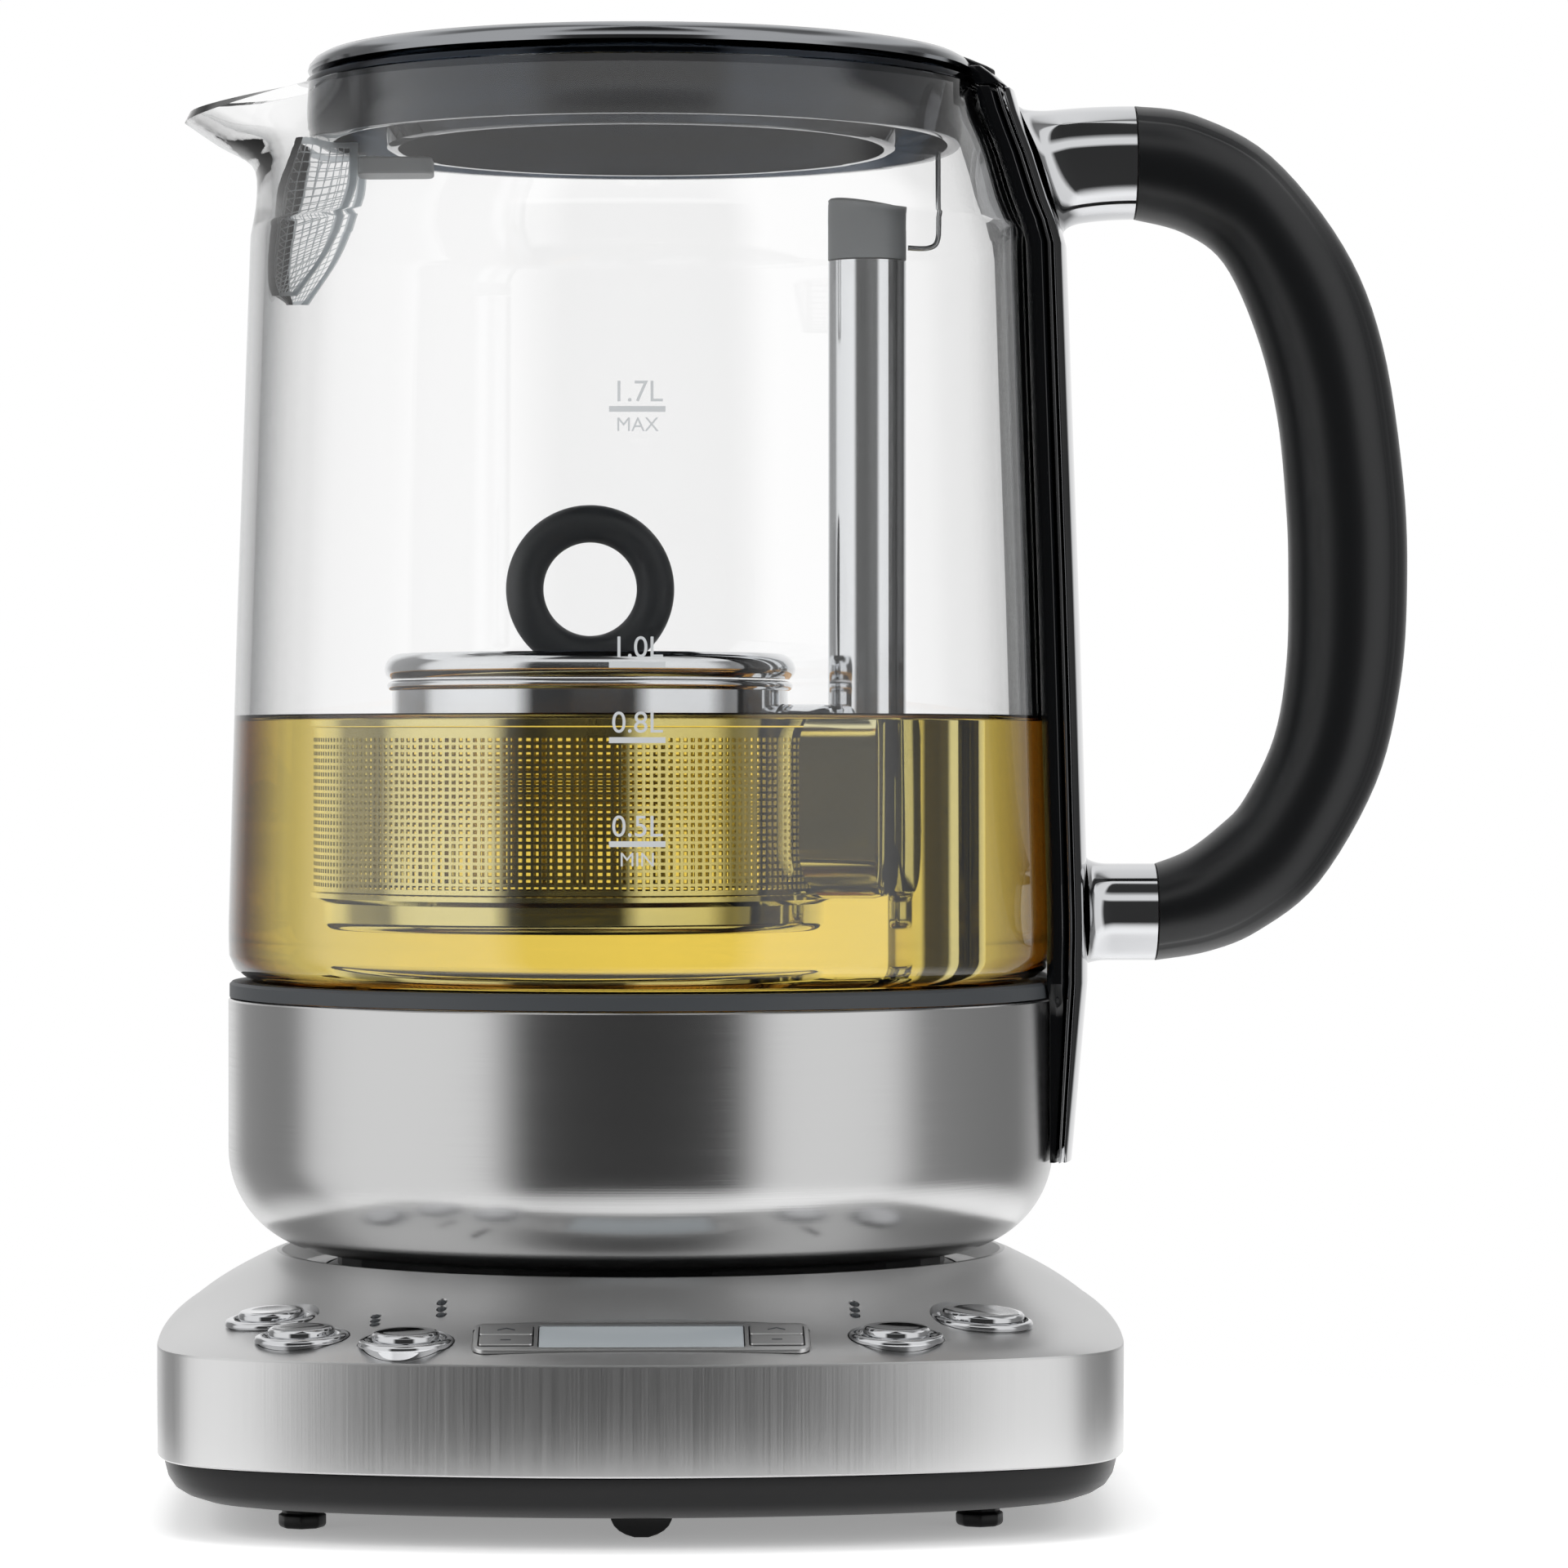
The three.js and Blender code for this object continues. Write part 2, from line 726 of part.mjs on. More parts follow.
for (const side of keySides) {
  for (const row of keyRows) {
    const key = new THREE.ExtrudeGeometry(roundedRectangle(keyWidth - keyRim, keyDepth - keyRim, keyCorner), {
      depth: keyThickness, bevelThickness: keyRim / 2, bevelSize: keyRim / 2, bevelSegments: 1, curveSegments: 1,
    });
    const keyTop = lensTop + keyRise;
    key.translate(side.x, row.y, keyTop - keyThickness - keyRim / 2);
    addPart(`key_${side.name}_${row.name}`, key, 'chrome', panelSeat);
  }
}

// Light guides: the dots stand on a bar under the cover
function lightGuide(dots) {
  const xs = dots.map(([x]) => x);
  const ys = dots.map(([, y]) => y);
  const heights = dots.map(([x, y]) => slopeHeight(x, y));
  const barTop = Math.min(...heights) - dotLength;
  const carrier = block(
    Math.min(...xs) - guideBarMargin, Math.max(...xs) + guideBarMargin,
    Math.min(...ys) - guideBarMargin, Math.max(...ys) + guideBarMargin,
    barTop - guideBarThickness, barTop,
  );
  const pins = dots.map(([x, y], i) => (
    bar(dotRadius, barTop - guideBarThickness / 2, heights[i] + dotRise, smallSteps / 2).translate(x, y, 0)
  ));
  return join(carrier, ...pins);
}
addPart('light_guide_left', lightGuide(leftDots), 'screen');
addPart('light_guide_right', lightGuide(rightDots), 'screen');

const boardShape = roundedRectangle(2 * boardHalfWidth, boardBack - boardFront, boardCorner);
const boardSlab = plate(boardShape, boardTop - boardThickness, boardThickness);
addPart('control_board', boardSlab.translate(0, (boardBack + boardFront) / 2, 0), 'board');

// Jug shell: drawn steel with a round lower edge
const cornerCentreR = shellRadius - shellCorner;
const cornerCentreZ = shellBottom + shellCorner;
addPart('jug_shell', turn([
  ...arc(cornerCentreR, cornerCentreZ, shellCorner, -90, 0),
  [shellRadius, shellTop],
  [shellRadius - shellWall, shellTop],
  ...arc(cornerCentreR, cornerCentreZ, shellCorner - shellWall, 0, -90),
  [cornerCentreR, shellBottom],
], glassSteps), 'steel');

const undersideTop = shellBottom + undersideThickness;
const undersideRadius = shellBottomRadius - touchGap - shellWall;
const undersideLow = deckTop + touchGap;
addPart('jug_underside', turn([
  [socketRadius + slideGap, undersideTop],
  [undersideRadius, undersideTop],
  [undersideRadius, undersideLow],
  [undersideRadius - undersideRingWidth, undersideLow],
  [undersideRadius - undersideRingWidth, undersideTop - undersideThickness + undersideRingDrop / 4],
  [socketRadius + slideGap, undersideTop - undersideThickness + undersideRingDrop / 4],
  [socketRadius + slideGap, undersideTop],
]), 'blackPlastic');

const socketBottom = undersideLow + touchGap;
const socketTop = socketBottom + socketHeight;
addPart('jug_socket', turn([
  [0, socketTop],
  [socketRadius, socketTop],
  [socketRadius, socketBottom],
  [connectorRadius + slideGap, socketBottom],
  [connectorRadius + slideGap, socketTop - socketWall],
  [0, socketTop - socketWall],
], 24), 'blackPlastic');

// Floor plate with the probe dome brazed through it, and its element
const floorPlate = turn([
  [0, plateTop - plateDish],
  [plateRadius - shellCorner, plateTop - plateDish],
  [plateRadius, plateTop],
  [plateRadius, plateTop - plateThickness],
  [plateRadius - shellCorner, plateTop - plateDish - plateThickness],
  [0, plateTop - plateDish - plateThickness],
]);
const plateBottom = plateTop - plateDish - plateThickness;
const screwHole = bar(screwRadius + 2 * slideGap, plateBottom - overrun, plateTop + overrun);
const probeTop = plateTop + probeHeight;
const probe = turn([
  [0, plateBottom - probeStem],
  [probeRadius, plateBottom - probeStem],
  [probeRadius, probeTop - probeRadius],
  ...arc(0, probeTop - probeRadius, probeRadius, 30, 90, 3),
], smallSteps).translate(probeX, probeY, 0);
addPart('floor_plate', join(cut(floorPlate, screwHole.translate(columnX, 0, 0)), probe), 'steel');

class RingCurve extends THREE.Curve {
  getPoint(share, target = new THREE.Vector3()) {
    const angle = mix(elementGapAngle / 2, 360 - elementGapAngle / 2, share) * degrees;
    return target.set(elementRingRadius * Math.cos(angle), elementRingRadius * Math.sin(angle), 0);
  }
}
function roundSection(radius, sides) {
  const shape = new THREE.Shape();
  for (let i = 0; i < sides; i += 1) {
    const angle = (i / sides) * Math.PI * 2;
    if (i === 0) shape.moveTo(radius, 0);
    else shape.lineTo(radius * Math.cos(angle), radius * Math.sin(angle));
  }
  return shape;
}
const elementTube = new THREE.ExtrudeGeometry(roundSection(elementTubeRadius, 6), {
  steps: 20, bevelEnabled: false, extrudePath: new RingCurve(),
});
addPart('heating_element', elementTube.translate(0, 0, plateBottom - elementTubeRadius - touchGap), 'steel');

addPart('seal_ring', turn([
  [sealInnerRadius, shellTop + touchGap],
  [sealRadius, shellTop + touchGap],
  [sealRadius, sealTop - sealBevel],
  [sealRadius - sealBevel, sealTop],
  [sealInnerRadius, sealTop],
  [sealInnerRadius, shellTop + touchGap],
], glassSteps), 'silicone');

// Glass body: one wall from foot to rim, with the lip drawn out into a spout
const glassBottom = sealTop + touchGap;
const bodyOuter = [
  [shellRadius - glassBottomCorner - glassWall / 2, glassBottom],
  ...arc(shellRadius - glassBottomCorner, glassBottom + glassBottomCorner, glassBottomCorner, -60, 0, 3),
  [shellRadius, glassWidestHeight],
  [glassMiddleRadius, glassMiddleHeight],
  [glassUpperRadius, glassUpperHeight],
];
const neckOuter = [
  [shoulderRadius, shoulderHeight],
  [neckRadius, neckHeight],
  [throatRadius, throatHeight],
  [collarGlassRadius, collarGlassHeight],
  [rimRadius, rimHeight],
];
const spoutOuter = [
  [shoulderRadius, shoulderHeight],
  [spoutRootRadius, spoutRootHeight],
  [spoutUnderRadius, spoutUnderHeight],
  [spoutMiddleRadius, spoutMiddleHeight],
  [spoutReach, spoutTipHeight],
];
const neckInner = neckOuter.map(([radius, height]) => [radius - glassWall, height]);
const spoutInner = [
  [shoulderRadius - glassWall, shoulderHeight],
  [spoutRootRadius - glassWall, spoutRootHeight],
  [spoutUnderRadius - glassWall, spoutUnderHeight + spoutLipThickness],
  [spoutMiddleRadius - spoutLipThickness, spoutMiddleHeight + spoutLipThickness],
  [spoutReach - spoutLipThickness / 2, spoutTipHeight + spoutLipThickness],
];
function glassRing([radius, height], [reach, reachHeight] = [radius, height]) {
  return Array.from({ length: glassSteps }, (_, i) => {
    const angle = (i / glassSteps) * Math.PI * 2;
    const away = Math.abs(angle - Math.PI) / (spoutHalfAngle * degrees);
    const pull = away < 1 ? ((1 + Math.cos(Math.PI * away)) / 2) ** 1.3 : 0;
    const r = mix(radius, reach, pull);
    return new THREE.Vector3(r * Math.cos(angle), r * Math.sin(angle), mix(height, reachHeight, pull));
  });
}
const bodyInner = bodyOuter.slice(3).map(([radius, height]) => [radius - glassWall, height]);
addPart('glass_body', loft([
  ...bodyOuter.map((point) => glassRing(point)),
  ...neckOuter.map((point, i) => glassRing(point, spoutOuter[i])),
  ...neckInner.map((point, i) => glassRing(point, spoutInner[i])).reverse(),
  ...bodyInner.map((point) => glassRing(point)).reverse(),
  glassRing([shellRadius - glassBottomCorner - glassWall, glassBottom + glassWall / 2]),
], true), 'glass');

// Neck collar that holds the filter and the column stay
const collarFlangeBottom = rimHeight + touchGap;
const collarTop = collarFlangeBottom + collarFlangeThickness;
const collarInner = collarRadius - collarWall;
const collarRing = turn([
  [collarInner, collarBottom],
  [collarRadius, collarBottom],
  [collarRadius, collarFlangeBottom],
  [collarFlangeRadius, collarFlangeBottom],
  [collarFlangeRadius, collarTop],
  [collarInner, collarTop],
  [collarInner, collarBottom],
]);
const notchBlock = block(notchX, lidRadius + overrun, -notchHalfWidth, notchHalfWidth,
  collarFlangeBottom - touchGap, lidTop + overrun);
const stayTab = block(wireReach - wireRadius - touchGap, wireReach + stayTabLength, -stayTabHalfWidth, stayTabHalfWidth,
  collarBottom, collarBottom + stayTabThickness);
addPart('neck_collar', cut(join(collarRing, stayTab), notchBlock), 'smoke');

// Lid: steel disc over a smoked plug with a sealing lip
const lidBottom = collarTop + touchGap;
const lidDisc = turn([
  [0, lidBottom],
  [lidUnderRadius, lidBottom],
  [lidRadius, lidEdgeHeight],
  [lidRadius - touchGap, lidEdgeHeight + lidSink],
  [lidRadius - lidRimWidth / 2, lidTop],
  [lidRadius - lidRimWidth, lidTop],
  [lidRadius - lidRimWidth - lidSink, lidTop - lidSink],
  [0, lidTop - lidSink],
], glassSteps);
const lidTab = block(notchX - tabLength, notchX - touchGap, -tabWidth / 2, tabWidth / 2,
  lidBottom + lidSink, lidTop + tabHeight - lidSink);
addPart('lid_disc', join(cut(lidDisc, notchBlock), lidTab), 'steel');

const plugTop = lidBottom - touchGap;
const plugInner = plugFlangeRadius - plugWall;
addPart('lid_plug', turn([
  [0, plugBottom],
  [plugBottomRadius, plugBottom],
  [plugBottomRadius + plugWall, plugTaperHeight],
  [plugFlangeRadius, sealRingHeight - sealRingWidth],
  [plugFlangeRadius, sealRingHeight],
  [collarInner - slideGap, sealRingHeight + sealRingWidth / 2],
  [collarInner - slideGap, sealRingHeight + sealRingWidth],
  [plugFlangeRadius, sealRingHeight + sealRingWidth],
  [plugFlangeRadius, plugTop],
  [plugInner, plugTop],
  [plugInner, sealRingHeight],
  [plugBottomRadius - plugWall, plugBottom + 2 * plugWall],
  [0, plugBottom + 2 * plugWall],
]), 'smoke');

// Spout filter: a bent frame with a perforated panel, and its clip under the collar
function sideShape(points) {
  const shape = new THREE.Shape();
  points.forEach(([x, z], i) => (i === 0 ? shape.moveTo(x, z) : shape.lineTo(x, z)));
  return shape;
}
function sidePlate(points, halfWidth) {
  const geometry = new THREE.ExtrudeGeometry(sideShape(points), { depth: 2 * halfWidth, bevelEnabled: false });
  return geometry.rotateX(Math.PI / 2).translate(0, halfWidth, 0);
}
const filterOuter = [
  [filterTopX - filterFrameBar, filterTop],
  [filterOuterX, filterBend],
  [filterOuterX, filterBottom + 3 * filterFrameBar],
  [filterTipX, filterBottom],
  [filterTipX + filterFrameBar, filterBottom],
];
const lobeInner = [
  [filterInnerX - 2 * filterFrameBar, filterBend - 2 * filterFrameBar],
  [filterInnerX, filterBend + filterFrameBar],
  [filterInnerX, filterTop],
];
const filterSide = sidePlate([...filterOuter, ...lobeInner], filterHalfWidth);
const inset = filterFrameBar;
const filterHollow = sidePlate([
  [filterTopX - filterFrameBar + inset, filterTop + overrun],
  [filterTopX - filterFrameBar + inset, filterTop - inset],
  [filterOuterX + inset, filterBend - inset],
  [filterOuterX + inset, filterBottom + 3 * filterFrameBar],
  [filterTipX + inset / 2, filterBottom + inset],
  [filterInnerX - 3 * filterFrameBar, filterBend - 2 * filterFrameBar],
  [filterInnerX - inset, filterBend + filterFrameBar],
  [filterInnerX - inset, filterTop + overrun],
], filterHalfWidth - inset);
const filterWindow = block(
  filterOuterX - overrun, filterOuterX + 2 * inset,
  -filterHalfWidth + 2 * inset, filterHalfWidth - 2 * inset,
  filterBottom + 4 * inset, filterBend - inset,
);
const clipTop = plugBottom - 2 * touchGap;
const filterClip = block(
  filterInnerX - inset, filterInnerX - inset + clipLength,
  -filterHalfWidth / 2, filterHalfWidth / 2, clipTop - clipThickness, clipTop,
);
addPart('spout_filter_frame', join(cut(filterSide, filterHollow, filterWindow), filterClip), 'softBlack');

const meshHeight = filterBend - filterBottom - 5 * inset - 2 * touchGap;
const meshWidth = 2 * (filterHalfWidth - 2 * inset - touchGap);
const meshX = filterOuterX + inset / 2;
const meshBottom = filterBottom + 4 * inset + touchGap;
const meshHoles = [];
for (let i = 0; i < filterColumns; i += 1) {
  for (let j = 0; j < filterRows; j += 1) {
    const y = ((i + 0.5) / filterColumns - 0.5) * meshWidth;
    const z = meshBottom + ((j + 0.5) / filterRows) * meshHeight;
    const halfY = (meshWidth / filterColumns) * filterHoleShare / 2;
    const halfZ = (meshHeight / filterRows) * filterHoleShare / 2;
    meshHoles.push(block(meshX - overrun, meshX + overrun, y - halfY, y + halfY, z - halfZ, z + halfZ));
  }
}
const meshPanel = block(
  meshX - filterMeshThickness / 2, meshX + filterMeshThickness / 2,
  -meshWidth / 2, meshWidth / 2, meshBottom, meshBottom + meshHeight,
);
addPart('spout_filter_mesh', cut(meshPanel, ...meshHoles), 'steel');

// Lift column: a steel tube with the screw, the magnet carriage, the motor and the cap
const columnBottom = plateTop - plateDish + touchGap;
const columnBore = columnRadius - columnWall;
addPart('lift_column', turn([
  [columnBore, columnBottom],
  [columnFlangeRadius, columnBottom],
  [columnFlangeRadius, columnBottom + columnFlangeThickness],
  [columnRadius, columnBottom + columnFlangeThickness],
  [columnRadius, columnTop],
  [columnBore, columnTop],
  [columnBore, columnBottom],
], 24).translate(columnX, 0, 0), 'chrome');

function capRing(low, high, radius) {
  return Array.from({ length: buttonSteps }, (_, i) => {
    const angle = (i / buttonSteps) * Math.PI * 2;
    const tilt = (1 - Math.cos(angle)) / 2;
    return new THREE.Vector3(columnX + radius * Math.cos(angle), radius * Math.sin(angle), mix(low, high, tilt));
  });
}
const capBottom = columnTop + touchGap;
addPart('column_cap', loft([
  capRing(capBottom, capBottom, columnRadius),
  capRing(capTopLow - capTaper, capTopHigh - capTaper, columnRadius - capTaper / 2),
  capRing(capTopLow, capTopHigh, columnRadius - 2 * capTaper),
]), 'greyPlastic');

const stayStart = columnX + columnRadius + touchGap;
const stayBend = 3 * wireRadius;
const stayPath = new THREE.CatmullRomCurve3([
  new THREE.Vector3(stayStart, 0, capWireHeight),
  new THREE.Vector3(wireReach - stayBend, 0, capWireHeight),
  new THREE.Vector3(wireReach, 0, capWireHeight + stayBend),
  new THREE.Vector3(wireReach, 0, wireTop),
], false, 'catmullrom', 0.2);
addPart('column_stay', new THREE.ExtrudeGeometry(roundSection(wireRadius, 5), {
  steps: 12, bevelEnabled: false, extrudePath: stayPath,
}), 'chrome');

const motorBottom = undersideTop + touchGap;
const screwBottom = motorTop + touchGap;
addPart('lead_screw', bar(screwRadius, screwBottom, screwTop).translate(columnX, 0, 0), 'steel');
const motorCore = turn([
  [0, motorBottom],
  [motorRadius, motorBottom],
  [motorRadius, motorTop - motorBossHeight],
  [motorBossRadius, motorTop - motorBossHeight],
  [motorBossRadius, motorTop],
  [0, motorTop],
], buttonSteps);
addPart('lift_motor', motorCore.translate(columnX, 0, 0), 'steel');

const carriageCentre = (sleeveBottom + sleeveTop) / 2;
addPart('magnet_carriage', turn([
  [screwRadius + touchGap, carriageCentre - carriageHeight / 2],
  [columnBore - slideGap, carriageCentre - carriageHeight / 2],
  [columnBore - slideGap, carriageCentre + carriageHeight / 2],
  [screwRadius + touchGap, carriageCentre + carriageHeight / 2],
  [screwRadius + touchGap, carriageCentre - carriageHeight / 2],
], buttonSteps).translate(columnX, 0, 0), 'blackPlastic');

// Infuser basket: rolled rim, perforated band and pressed pan
const basketInner = basketRadius - basketWall;
const infuser = new THREE.Group();
infuser.position.x = infuserX;
teaMaker.add(infuser);
addPart('infuser_rim', turn([
  [basketInner, screenTop + touchGap],
  [basketRadius, screenTop + touchGap],
  [basketRadius, basketTop - 2 * basketRoll],
  [basketRadius + basketRoll, basketTop - basketRoll],
  [basketRadius, basketTop],
  [basketInner, basketTop],
  [basketInner, screenTop + touchGap],
]), 'steel', infuser);

const bandLow = screenBottom + touchGap;
const screenBand = turn([
  [basketInner, bandLow], [basketRadius, bandLow], [basketRadius, screenTop], [basketInner, screenTop],
  [basketInner, bandLow],
], 2 * screenColumns);
const rowPitch = (screenTop - bandLow) / screenRows;
const columnPitch = (2 * Math.PI * basketRadius) / screenColumns;
const holeReach = basketRadius + overrun;
const screenHoles = [];
for (let row = 0; row < screenRows; row += 1) {
  for (let spoke = 0; spoke < screenColumns; spoke += 2) {
    const tool = new THREE.BoxGeometry(
      2 * holeReach, columnPitch * screenHoleShare, rowPitch * screenHoleShare,
    );
    tool.rotateZ(((spoke + 0.5 + (row % 2)) / screenColumns) * Math.PI);
    screenHoles.push(tool.translate(0, 0, bandLow + (row + 0.5) * rowPitch));
  }
}
addPart('infuser_screen', cut(screenBand, ...screenHoles), 'steel', infuser);

addPart('infuser_pan', turn([
  [0, basketBottom],
  [basketRadius - 3 * basketStep, basketBottom],
  [basketRadius - basketStep, basketBottom + basketStep],
  [basketRadius - basketStep, screenBottom - basketStep],
  [basketRadius, screenBottom - basketWall],
  [basketRadius, screenBottom],
  [basketInner - basketStep, screenBottom],
  [basketInner - basketStep, basketBottom + basketStep],
  [basketInner - 3 * basketStep, basketBottom + basketWall],
  [0, basketBottom + basketWall],
]), 'steel', infuser);

// Magnet sleeve that carries the basket along the column
const sleeveBore = columnRadius + slideGap;
const sleeveRadius = sleeveBore + sleeveWall;
const sleeveReach = infuserX + basketRadius + touchGap;
const sleeveTube = bar(sleeveRadius, sleeveBottom, sleeveTop, 24).translate(columnX, 0, 0);
const sleeveBlock = block(sleeveReach, columnX, -sleeveBlockHalfWidth, sleeveBlockHalfWidth, sleeveBottom, sleeveTop);
const sleeveHole = bar(sleeveBore, sleeveBottom - overrun, sleeveTop + overrun, 24).translate(columnX, 0, 0);
addPart('infuser_sleeve', cut(join(sleeveTube, sleeveBlock), sleeveHole), 'softBlack');

// Infuser lid: a polished dish with a rolled rim, and its ring knob
addPart('infuser_lid', turn([
  [0, infuserBossHeight - infuserLidWall],
  [infuserBossRadius - infuserLidWall, infuserBossHeight - infuserLidWall],
  [infuserBossRadius + infuserLidWall, infuserDishHeight - infuserLidWall],
  [infuserDishRadius, infuserDishHeight - infuserLidWall],
  [basketInner - slideGap, infuserLidBottom],
  [infuserLidRadius - infuserLidWall, infuserLidBottom],
  [infuserLidRadius, mix(infuserLidBottom, infuserLidTop, 0.35)],
  [infuserLidRadius - infuserLidWall, mix(infuserLidBottom, infuserLidTop, 0.85)],
  [infuserLidRadius - 2 * infuserLidWall, infuserLidTop],
  [infuserLidRadius - 4 * infuserLidWall, infuserLidTop - infuserLidWall / 2],
  [infuserDishRadius, infuserDishHeight],
  [infuserBossRadius + infuserLidWall, infuserDishHeight],
  [infuserBossRadius, infuserBossHeight],
  [0, infuserBossHeight],
]), 'chrome', infuser);

const ringTorus = new THREE.TorusGeometry(knobRingRadius, knobTubeRadius, 8, 24).rotateX(Math.PI / 2);
ringTorus.translate(0, 0, knobCentre);
const knobLow = infuserBossHeight + touchGap;
const knobStem = bar(knobStemRadius, knobLow, knobCentre - knobRingRadius + knobTubeRadius / 2);
const knobTrim = block(-knobRingRadius, knobRingRadius, -knobRingRadius, knobRingRadius,
  infuserDishHeight - overrun, knobLow);
addPart('infuser_knob', cut(join(ringTorus, knobStem), knobTrim), 'silicone', infuser);

// Handle bracket: three nested bands that follow the jug's side
const sideProfile = [
  [shellRadius, bandBottom],
  [shellRadius, glassWidestHeight],
  [glassMiddleRadius, glassMiddleHeight],
  [glassUpperRadius, glassUpperHeight],
  [shoulderRadius, shoulderHeight],
  [neckRadius, neckHeight],
  [throatRadius, throatHeight],
  [collarGlassRadius, collarGlassHeight],
  [rimRadius, bandTop],
];
function sideRadius(height) {
  const above = sideProfile.findIndex(([, z]) => z >= height);
  const [r1, z1] = sideProfile[Math.max(above, 1)];
  const [r0, z0] = sideProfile[Math.max(above, 1) - 1];
  return mix(r0, r1, (height - z0) / (z1 - z0));
}
function wrapBand(halfAngle, innerOffset, outerOffset, bottom, top, edgeShare) {
  const heights = [bottom, ...sideProfile.map(([, z]) => z).filter((z) => z > bottom && z < top), top];
  const shares = [-1, -0.67, -0.33, 0, 0.33, 0.67, 1];
  return loft(heights.map((z) => {
    const radius = sideRadius(z);
    const point = (offset, share) => {
      const angle = share * halfAngle * degrees;
      return new THREE.Vector3((radius + offset) * Math.cos(angle), (radius + offset) * Math.sin(angle), z);
    };
    const outer = shares.map((share) => (
      point(mix(innerOffset, outerOffset, 1 - (1 - edgeShare) * share ** 4), share)
    ));
    const inner = shares.map((share) => point(innerOffset, share)).reverse();
    return [...outer, ...inner];
  }));
}
const trimOffset = bandGap + bandThickness + touchGap;
const coverOffset = trimOffset + trimThickness + touchGap;
const coverReach = coverOffset + coverThickness;
const bracketBand = wrapBand(bandHalfAngle, bandGap, bandGap + bandThickness, bandBottom, bandTop, 0.6);
const hookBottom = collarFlangeBottom + touchGap;
const hook = block(hookInnerX, hookOuterX, -hookHalfWidth, hookHalfWidth, hookBottom, hookBottom + hookThickness);
addPart('handle_bracket', join(bracketBand, hook), 'blackPlastic');
const trimBand = wrapBand(trimHalfAngle, trimOffset, trimOffset + trimThickness, bandBottom, bandTop, 0.8);
addPart('bracket_trim', trimBand, 'chrome');
const coverBand = wrapBand(coverHalfAngle, coverOffset, coverReach, bandBottom + trimThickness, bandTop, 0.5);
addPart('bracket_cover', coverBand, 'softBlack');

// Chrome sleeves between the bracket and the grip
function sleeveRing(x, centre, height, width) {
  return Array.from({ length: buttonSteps }, (_, i) => {
    const angle = (i / buttonSteps) * Math.PI * 2;
    const y = (width / 2) * Math.cos(angle);
    const z = centre + (height / 2) * Math.sin(angle);
    return new THREE.Vector3(typeof x === 'function' ? x(z) : x, y, z);
  });
}
function handleSleeve(centre, height, end) {
  const start = (z) => sideRadius(z) + coverReach + touchGap;
  const startMiddle = start(centre);
  return loft([
    sleeveRing(start, centre, height + 2 * sleeveFlare, sleeveWidth + 2 * sleeveFlare),
    sleeveRing((z) => mix(start(z), end, 0.25), centre, height + sleeveFlare / 2, sleeveWidth + sleeveFlare / 2),
    sleeveRing(mix(startMiddle, end, 0.85), centre, height, sleeveWidth),
    sleeveRing(end, centre, height, sleeveWidth),
  ]);
}
addPart('upper_sleeve', handleSleeve(upperSleeveCentre, upperSleeveHeight, upperSleeveEnd), 'chrome');
addPart('lower_sleeve', handleSleeve(lowerSleeveCentre, lowerSleeveHeight, lowerSleeveEnd), 'chrome');

// Grip: an oval section between its inner and its outer line
const gripOuterLine = new THREE.CatmullRomCurve3([
  [90.7, 253.8], [101.6, 252.2], [115.7, 244.7], [129.1, 228.2], [136.3, 210.2], [140.2, 185], [140.9, 165.2],
  [139.6, 147.2], [135.1, 129.2], [124.7, 111.2], [113.5, 102.2], [104.2, 98.4], [94.5, 96.8],
].map(([x, z]) => new THREE.Vector3(x, 0, z)));
const gripInnerLine = new THREE.CatmullRomCurve3([
  [90.7, 233], [99.7, 230.6], [107.2, 225], [113.2, 212], [117, 197], [118.7, 180], [119.1, 168], [118.8, 152],
  [116.5, 138], [111, 126.5], [106.5, 121.6], [100.4, 117], [94.5, 114.6],
].map(([x, z]) => new THREE.Vector3(x, 0, z)));
const gripStations = 22;
const gripSides = 16;
addPart('handle_grip', loft(Array.from({ length: gripStations + 1 }, (_, i) => {
  const outer = gripOuterLine.getPoint(i / gripStations);
  const inner = gripInnerLine.getPoint(i / gripStations);
  const centre = outer.clone().add(inner).multiplyScalar(0.5);
  const half = outer.clone().sub(inner).multiplyScalar(0.5);
  return Array.from({ length: gripSides }, (_unused, j) => {
    const angle = -(j / gripSides) * Math.PI * 2;
    const y = (gripWidth / 2) * Math.sin(angle);
    return centre.clone().addScaledVector(half, Math.cos(angle)).add(new THREE.Vector3(0, y, 0));
  });
})), 'softBlack');

// The origin is the middle of the outline, on the surface that the feet stand on
teaMaker.updateMatrixWorld(true);
const extent = new THREE.Box3().setFromObject(teaMaker);
const middle = extent.getCenter(new THREE.Vector3());
teaMaker.position.set(-middle.x, -middle.y, -extent.min.z);
teaMaker.updateMatrixWorld(true);

export default teaMaker;
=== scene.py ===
# %% [markdown]
# # An automatic tea maker
# A glass jug stands on a steel base. Inside it a steel infuser climbs a column, driven by a magnet.
# The plain model comes first: it gives every body, joint and size, and the fine pieces are made on it.

# %% Load the plain model
import json
import math
import bmesh
import bpy
from mathutils import Matrix, Vector

